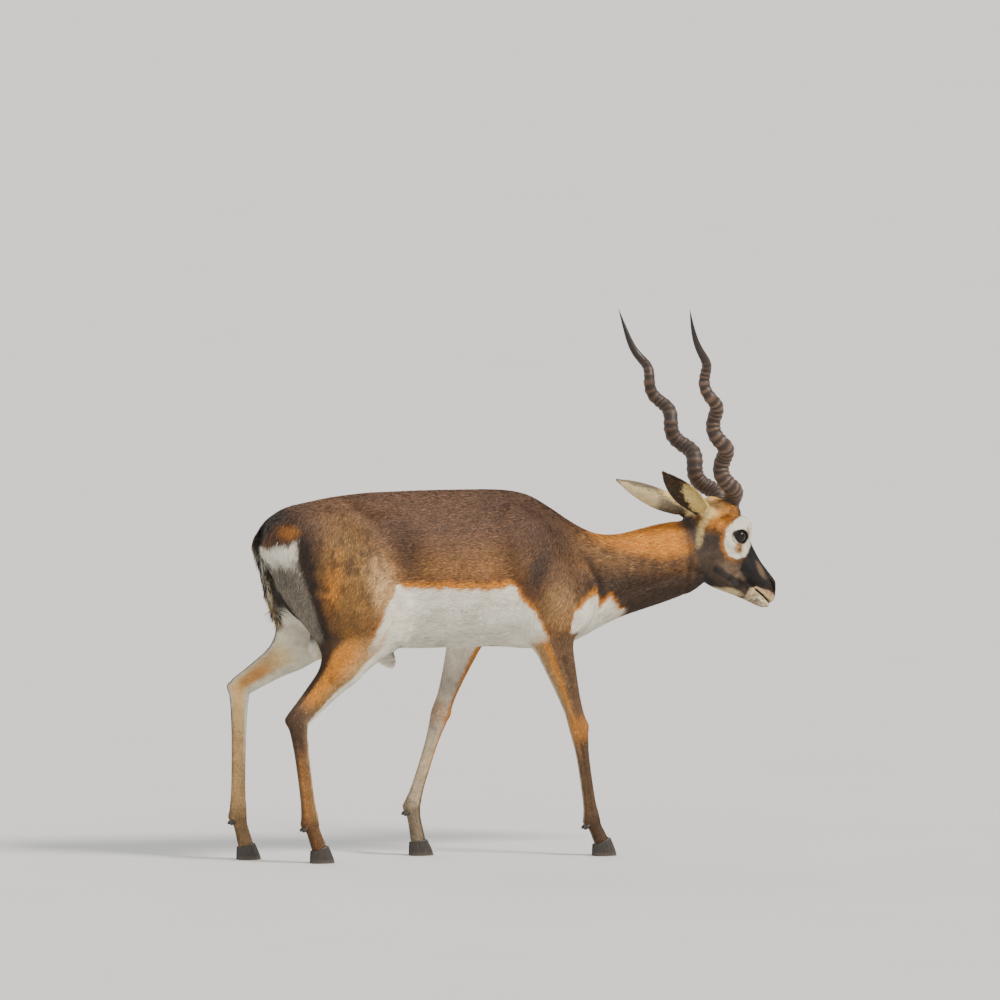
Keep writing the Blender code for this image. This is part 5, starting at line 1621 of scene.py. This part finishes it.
def coat_parts(name, own, roots):
    """The pieces of a region's coat, by name, and which tufts each one has."""
    if name not in ("torso", "neck", "head"):
        return {name: own}
    parts = {}
    for side, sign in SIDES.items():
        here = own & (roots[:, 1] * sign > 0)
        if name == "torso":
            rear = roots[:, 0] < TORSO_MIDDLE
            parts["torso_front_" + side] = here & ~rear
            parts["torso_rear_" + side] = here & rear
        else:
            parts[name + "_" + side] = here
    return parts


def make_coat(flesh, skin, body_count, colours, found, placed):
    """All the tufts, as the pieces of each region, with the slot of each piece."""
    spots, _, normals = skin
    regions = np.argmax(np.stack([found[name] for name in COAT_SLOTS]), axis=0)
    lie = lie_of_coat(spots, normals, found, placed)
    sizes = tuft_sizes(spots, normals, found, placed)
    side = head_side(spots)
    is_body = np.arange(len(spots)) < body_count
    sizes[:, 0] *= np.where(is_body, side < OVERLAP - 0.0045, side > 0.0015)
    rng = np.random.default_rng(COAT_SEED)
    corners, tint, roots, regions = grow_tufts(flesh, skin, lie, sizes, colours, regions, rng)
    made = []
    for index, (name, slot) in enumerate(COAT_SLOTS.items()):
        leg = next((row for row in legs() if row[0] == name), None)
        for part, here in coat_parts(name, regions == index, roots).items():
            on_leg = leg_place(roots[here], *leg[2:], leg[1]) if leg else None
            flat_spots = unwrap(name, roots[here], on_leg)
            made.append((tuft_mesh("coat_" + part, corners[here], tint[here], flat_spots), slot))
    return made


def loft(name, rings):
    """A mesh through rings of points, closed with fans at both ends."""
    rings = np.array([[tuple(p) for p in ring] for ring in rings], float)
    count, around = rings.shape[:2]
    points = rings.reshape(-1, 3)
    faces = []
    for i in range(count - 1):
        for k in range(around):
            a, b = i * around + k, i * around + (k + 1) % around
            faces.append((a, b, b + around))
            faces.append((a, b + around, a + around))
    for middle, ring, order in ((len(points), 0, -1), (len(points) + 1, count - 1, 1)):
        for k in range(around):
            pair = (ring * around + k, ring * around + (k + 1) % around)[::order]
            faces.append((*pair, middle))
    ends = [rings[0].mean(axis=0), rings[-1].mean(axis=0)]
    return new_object(name, mesh_of(name, np.vstack([points, ends]), np.array(faces)))


def store(thing, labels, rows):
    """Stores a row of values for each point of a piece, one column under each label."""
    for index, label in enumerate(labels):
        layer = thing.data.attributes.new(label, "FLOAT", "POINT")
        layer.data.foreach_set("value", [row[index] for row in rows])


def horn_line(share, side):
    """Centre of a horn's section, a share of the way from its base to its tip, and its twist."""
    base, tip, bow = (Vector(mirrored(v, side)) for v in (HORN_BASE, HORN_TIP, HORN_BOW))
    axis = (tip - base).normalized()
    outward = (Vector((0, side, 0)) - axis * axis.y * side).normalized()
    forward = outward.cross(axis) * side
    turns = HORN_TURNS * (share - HORN_FIRST_FRONT) - HORN_SLOWING * max(0.0, share - 0.7) ** 2
    angle = 2 * math.pi * turns
    climb = min(1.0, max(0.0, share + 0.04) * 12)
    swing = HORN_SWING * (1 - 0.4 * share) * (1 - max(0.0, share) ** 10) * climb
    wave = forward * math.cos(angle) + outward * math.sin(angle)
    return base + (tip - base) * share + wave * swing + bow * math.sin(math.pi * share), angle


def horn_radius(share):
    return HORN_RADIUS * (1 - max(0.0, min(1.0, share)) ** 2.2) ** 0.85


def ring_turn(share):
    """How many rings a horn has below a share of its length; they lie closer near its base."""
    return HORN_RINGS * share + HORN_BASE_RINGS * (1 - math.exp(-share / 0.15))


def ring_height(share, place):
    """How high a horn stands at its rings: 0 in a groove, and up to 1 on a crest's front."""
    turn = ring_turn(share)
    uneven = 0.10 * math.sin(turn * 2.9) + 0.08 * math.sin(turn * 1.3 + 1)
    wave = math.cos(2 * math.pi * (turn + uneven))
    crest = (max(wave, -0.75) + 0.75) / 1.75
    return crest**1.1 * (0.72 + 0.28 * math.cos(place))


def make_horn(name, side):
    """A horn with its rings, smooth towards the tip, and how high each point stands on its ring."""
    axes = horn_axes()
    first = -HORN_ROOT / (Vector(HORN_TIP) - Vector(HORN_BASE)).length
    shares = [first, first / 2]
    steps = np.linspace(0, HORN_RINGS_END, 400)
    turns = [ring_turn(step) for step in steps]
    shares += list(np.interp(np.arange(0, turns[-1], 1 / HORN_SPANS), turns, steps))
    shares += list(HORN_RINGS_END + (1 - HORN_RINGS_END) * np.linspace(0, 1, HORN_TIP_SPANS) ** 0.8)
    rings, heights = [], []
    outward = Vector((1, 0, 0))
    for share in shares:
        here, twist = horn_line(share, side)
        along = (horn_line(share + 0.004, side)[0] - horn_line(share - 0.004, side)[0]).normalized()
        outward = (outward - along * outward.dot(along)).normalized()
        across = along.cross(outward)
        radius = max(horn_radius(share), 0.0006)
        fade = rise(share, 0.0, 0.015) * fall(share, 0.62, HORN_RINGS_END + 0.02)
        ring = []
        for k in range(HORN_SIDES):
            angle = 2 * math.pi * k / HORN_SIDES
            crest = ring_height(share, angle)
            keel = 1 + 0.025 * math.cos(angle - side * twist)
            size = radius * keel * (1 + (0.125 * crest - 0.070) * fade) - HORN_SKIN * min(1, radius / 0.004)
            way = outward * math.cos(angle) + across * math.sin(angle)
            ring.append(axes @ (here + way * size))
            heights.append((crest * fade, share))
        rings.append(ring)
    made = loft("horn_sheath_" + name, rings)
    store(made, ("crest", "share"), heights + [(0.0, first), (0.0, 1.0)])
    return made


def make_eye(name, side):
    """The ball of the eye with its clearer front standing out a little, and its iris and pupil."""
    look, along, up = eye_axes(side)
    centre = mirrored(EYE_PLACE, side)
    axes = np.array(head_axes())
    rings, tones = [], []
    for i in range(EYE_RINGS):
        angle = math.pi * (i + 0.02) / (EYE_RINGS - 0.96)
        front, aside = math.cos(angle), math.sin(angle)
        bulge = EYE_RADIUS * (1 + 0.03 * rise(front, 0.80, 1.0)) - EYE_IN
        ring = []
        for k in range(EYE_SIDES):
            turn = 2 * math.pi * k / EYE_SIDES
            way = look * front + (along * math.cos(turn) + up * math.sin(turn)) * aside
            ring.append(axes[:3, :3] @ (centre + way * bulge) + axes[:3, 3])
            pupil = math.hypot(aside * math.cos(turn) / 0.56, aside * math.sin(turn) / 0.27)
            tones.append((float(rise(pupil, 0.85, 1.1)), float(rise(aside, 0.66, 0.80))))
        rings.append(ring)
    made = loft("eyeball_" + name, rings)
    store(made, ("iris", "rim"), tones + [(0.0, 0.0), (0.0, 1.0)])
    return made


def claw_rings(coronet, down, outer, toe_out):
    """Sections of one claw, from the ground up to the slanted coronet."""
    rings = []
    for height in CLAW_HEIGHTS:
        ring = []
        for k in range(CLAW_SIDES):
            angle = 2 * math.pi * k / CLAW_SIDES
            ahead, aside = math.cos(angle), (1 + math.sin(angle)) / 2
            pointed = 1 - 0.45 * max(0.0, ahead) ** 3
            length = CLAW_TOE if ahead > 0 else CLAW_HEEL
            foot_x = coronet.x + length * ahead
            foot_y = CLEFT + CLAW_WIDTH * aside * pointed
            top_x = coronet.x + CORONET_DEPTH * ahead
            top_y = CLEFT + (CORONET_WIDTH - CLEFT) * math.sqrt(aside) * math.sqrt(1 - 0.6 * ahead**2)
            top_z = coronet.z - (top_x - coronet.x) * down.x / down.z
            lean = height**1.3
            x = foot_x + (top_x - foot_x) * lean
            y = foot_y + (top_y - foot_y) * height
            y += toe_out * (foot_x - coronet.x) * (1 - height)
            x -= 0.0012 * ahead * (1 - rise(height, 0.0, 0.04))
            ring.append(Vector((x, coronet.y + outer * y, top_z * height)))
        rings.append(ring)
    return rings


def dewclaw_rings(root, along):
    """Sections of a small blunt claw behind a fetlock."""
    across = along.cross(Vector((0, 1, 0))).normalized()
    aside = along.cross(across)
    turns = [2 * math.pi * k / DEWCLAW_SIDES for k in range(DEWCLAW_SIDES)]
    rings = []
    for share in np.linspace(0, 1, 9):
        radius = DEWCLAW_RADIUS * math.sqrt(max(1 - share**3, 0.02)) * (0.9 + 0.1 * min(1, share * 3))
        centre = root + along * (share * DEWCLAW_LENGTH)
        rings.append([centre + (across * math.cos(a) + aside * math.sin(a)) * radius for a in turns])
    return rings


def make_feet():
    """The claws and dewclaws of the four feet, with the CAD node that each stands for."""
    made = []
    for name, side, joints, spread, _ in legs():
        fetlock, coronet = (Vector(leg_spot(joints, spread, side, place)) for place in (3, 4))
        down = (coronet - fetlock).normalized()
        for place, outer in (("outer", side), ("inner", -side)):
            claw = loft("claw_" + name + "_" + place, claw_rings(coronet, down, outer, 0.04))
            made.append((claw, "hoof_" + name + "_" + place))
            back = Vector((-0.80, outer * 0.30, -0.62)).normalized()
            root = fetlock + Vector((-0.008, outer * 0.0075, -0.010))
            spur = loft("spur_" + name + "_" + place, dewclaw_rings(root, back))
            made.append((spur, "dewclaw_" + name + "_" + place))
    return made


class Look:
    """A node material, with short ways to add the nodes that several looks need."""

    def __init__(self, name, roughness, specular):
        self.material = bpy.data.materials.new(name)
        self.material.use_nodes = True
        self.tree = self.material.node_tree
        self.inputs = self.tree.nodes["Principled BSDF"].inputs
        self.give("Roughness", roughness)
        self.give("Specular IOR Level", specular)

    def put(self, target, value):
        """Links an output to a socket, or sets the socket to a plain value."""
        if isinstance(value, bpy.types.NodeSocket):
            self.tree.links.new(value, target)
        else:
            target.default_value = value

    def give(self, label, value):
        """An input of the shader."""
        self.put(self.inputs[label], value)

    def node(self, kind, inputs=(), **settings):
        made = self.tree.nodes.new("ShaderNode" + kind)
        for key, value in settings.items():
            setattr(made, key, value)
        for key, value in inputs:
            self.put(made.inputs[key], value)
        return made

    def place(self, scale=None):
        """The place on the piece, stretched by a scale."""
        place = self.node("TexCoord").outputs["Object"]
        if scale is None:
            return place
        return self.node("Mapping", [("Vector", place), ("Scale", scale)]).outputs["Vector"]

    def stored(self, label, output="Fac"):
        """A value or colour that is stored at the piece's points."""
        return self.node("Attribute", attribute_name=label).outputs[output]

    def noise(self, place, scale, detail=2.0):
        inputs = [("Vector", place), ("Scale", scale), ("Detail", detail)]
        return self.node("TexNoise", inputs).outputs["Fac"]

    def ramp(self, value, low, high, first=0.0, last=1.0):
        """A value brought from the span low to high to the span first to last."""
        spans = [("From Min", low), ("From Max", high), ("To Min", first), ("To Max", last)]
        return self.node("MapRange", [("Value", value), *spans]).outputs["Result"]

    def joined(self, first, second, operation):
        return self.node("Math", [(0, first), (1, second)], operation=operation).outputs[0]

    def mixed(self, factor, first, second, blend="MIX"):
        """The colour of a mix of two colours."""
        made = self.node("Mix", [("Factor", factor)], data_type="RGBA", blend_type=blend)
        for socket, value in (("A_Color", first), ("B_Color", second)):
            self.put(next(s for s in made.inputs if s.identifier == socket), value)
        return next(s for s in made.outputs if s.identifier == "Result_Color")

    def bump(self, height, strength, distance):
        inputs = [("Height", height), ("Strength", strength), ("Distance", distance)]
        self.give("Normal", self.node("Bump", inputs).outputs["Normal"])


def skin_material():
    """Skin: the coat's colour, speckled and rough."""
    look = Look("skin", 0.75, 0.25)
    speck = look.noise(look.place(), 420.0, 3.0)
    shade = look.ramp(speck, 0.3, 0.7, 0.70, 1.12)
    look.give("Base Color", look.mixed(1.0, look.stored("coat", "Color"), shade, "MULTIPLY"))
    look.bump(speck, 0.35, 0.0006)
    return look.material


def hair_material(name, roughness):
    """Hair: the coat's colour, finely uneven."""
    look = Look(name, roughness, 0.35)
    shade = look.ramp(look.noise(look.place(), 900.0), 0.25, 0.75, 0.82, 1.15)
    look.give("Base Color", look.mixed(1.0, look.stored("coat", "Color"), shade, "MULTIPLY"))
    return look.material


def horn_material():
    """Dark horn, paler along the crests of its rings as a painted highlight, finely lined along its length.
    """
    look = Look("horn_sheath", 0.5, 0.45)
    share = look.stored("share")
    lines = look.noise(look.place((260.0, 260.0, 32.0)), 3.0, 4.0)
    # painted highlight on the crests of the rings, made uneven by noise
    crest_highlight = look.joined(look.stored("crest"), look.noise(look.place(), 38.0, 4.0), "MULTIPLY")
    colour = look.mixed(look.ramp(crest_highlight, 0.06, 0.50), HORN_DARK, HORN_PALE)
    colour = look.mixed(1.0, colour, look.ramp(lines, 0.3, 0.7, 0.60, 1.25), "MULTIPLY")
    look.give("Base Color", look.mixed(look.ramp(share, 0.72, 0.98), colour, HORN_TIP_DARK))
    look.give("Roughness", look.ramp(share, 0.55, 1.0, 0.52, 0.28))
    look.bump(lines, 0.5, 0.0005)
    return look.material


def hoof_material():
    """Dark keratin, with fine lines up the wall and dust near the ground."""
    look = Look("hoof_wall", 0.42, 0.5)
    lines = look.noise(look.place((700.0, 700.0, 60.0)), 1.0, 3.0)
    rings = look.noise(look.place((20.0, 20.0, 420.0)), 1.0, 2.0)
    colour = look.mixed(look.ramp(lines, 0.3, 0.7), HOOF_DARK, HOOF_PALE)
    height = look.node("SeparateXYZ", [("Vector", look.place())]).outputs["Z"]
    look.give("Base Color", look.mixed(look.ramp(height, 0.010, 0.0, 0.0, 0.45), colour, DUST))
    look.bump(look.joined(lines, rings, "ADD"), 0.45, 0.0006)
    return look.material


def eye_material():
    """A wet eye: a wide dark pupil in a deep brown iris with a darker rim."""
    look = Look("eyeball", 0.03, 0.18)
    brown = look.mixed(look.noise(look.place(), 900.0, 3.0), IRIS_DARK, IRIS_PALE)
    colour = look.mixed(look.stored("iris"), PUPIL, brown)
    look.give("Base Color", look.mixed(look.stored("rim"), colour, IRIS_RIM))
    look.give("Coat Weight", 0.30)
    look.give("Coat Roughness", 0.02)
    return look.material


def dress(thing, material, nodes=()):
    """Moves a piece to the row frame, gives it its material and body, and hides the CAD nodes that it stands
    for.
    """
    thing.data.transform(Matrix.Translation(SHIFT))
    thing.data.materials.append(material)
    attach(thing, "root")
    if nodes:
        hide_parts(*nodes)
    return thing


def make_floor():
    wide = FLOOR_SIZE
    corners = [(-wide, -wide, 0), (wide, -wide, 0), (wide, wide, 0), (-wide, wide, 0)]
    mesh = bpy.data.meshes.new("floor")
    mesh.from_pydata(corners, [], [(0, 1, 2, 3)])
    floor = new_object("floor", mesh)
    look = Look("floor", 0.85, 0.2)
    look.give("Base Color", look.mixed(look.noise(look.place(), 2.0), FLOOR_GREY, FLOOR_PALE))
    mesh.materials.append(look.material)


def add_sun(name, towards, spread, power, colour):
    """An even light from far away, soft by its spread in degrees."""
    lamp = bpy.data.lights.new(name, "SUN")
    lamp.angle = math.radians(spread)
    lamp.energy = power
    lamp.color = colour
    thing = new_object(name, lamp)
    thing.rotation_euler = (-Vector(towards)).to_track_quat("-Z", "Y").to_euler()


def make_studio():
    """Floor, even sky, a warm key light from the front right and a faint one from behind."""
    make_floor()
    world = bpy.data.worlds.new("studio")
    world.use_nodes = True
    back = world.node_tree.nodes["Background"]
    back.inputs["Color"].default_value = SKY_COLOUR
    back.inputs["Strength"].default_value = SKY_POWER
    bpy.context.scene.world = world
    for sun in SUNS:
        add_sun(*sun)


def make_camera():
    """A far camera, level with the trunk, looking at the right side from a little behind it."""
    lens = bpy.data.cameras.new("camera")
    lens.sensor_width = SENSOR_WIDTH
    lens.clip_end = 1000.0
    lens.lens = SENSOR_WIDTH * CAMERA_DISTANCE / FRAME_WIDTH
    camera = new_object("camera", lens)
    turn, lift = math.radians(CAMERA_TURN), math.radians(CAMERA_LIFT)
    away = Vector((-math.sin(turn) * math.cos(lift), -math.cos(turn) * math.cos(lift), math.sin(lift)))
    target = Vector(CAMERA_TARGET) + SHIFT
    camera.location = target + away * CAMERA_DISTANCE
    camera.rotation_euler = (-away).to_track_quat("-Z", "Y").to_euler()
    bpy.context.scene.camera = camera


def find_shift():
    """From the working metres to the row frame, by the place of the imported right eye."""
    low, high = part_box("eye_right")
    there = (low + high) / 2
    here = head_axes() @ Vector(mirrored(EYE_PLACE, SIDES["right"]))
    return there - here


SHIFT = find_shift()
make_studio()
make_camera()
flesh = build_flesh()
skin_spots, skin_quads, body_count = make_skin(flesh)
skin = new_object("skin", mesh_of("skin", skin_spots, skin_quads))
skin_normals = smooth_normals(skin_spots, skin_quads)
skin_colours, skin_regions, on_legs = markings(skin_spots)
colour_layer(skin.data, skin_colours)
dress(skin, skin_material(), [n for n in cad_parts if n.split("_")[0] in FLESH_NODES])
hair_look = hair_material("hair", 0.62)
all_skin = (skin_spots, skin_quads, skin_normals)
for thing, slot in make_coat(flesh, all_skin, body_count, skin_colours, skin_regions, on_legs):
    dress(thing, hair_look)
horn_look, hoof_look, eye_look = horn_material(), hoof_material(), eye_material()
for name, side in SIDES.items():
    dress(make_horn(name, side), horn_look, ["horn_" + name])
    dress(make_eye(name, side), eye_look, ["eye_" + name])
for thing, node_name in make_feet():
    dress(thing, hoof_look, [node_name])
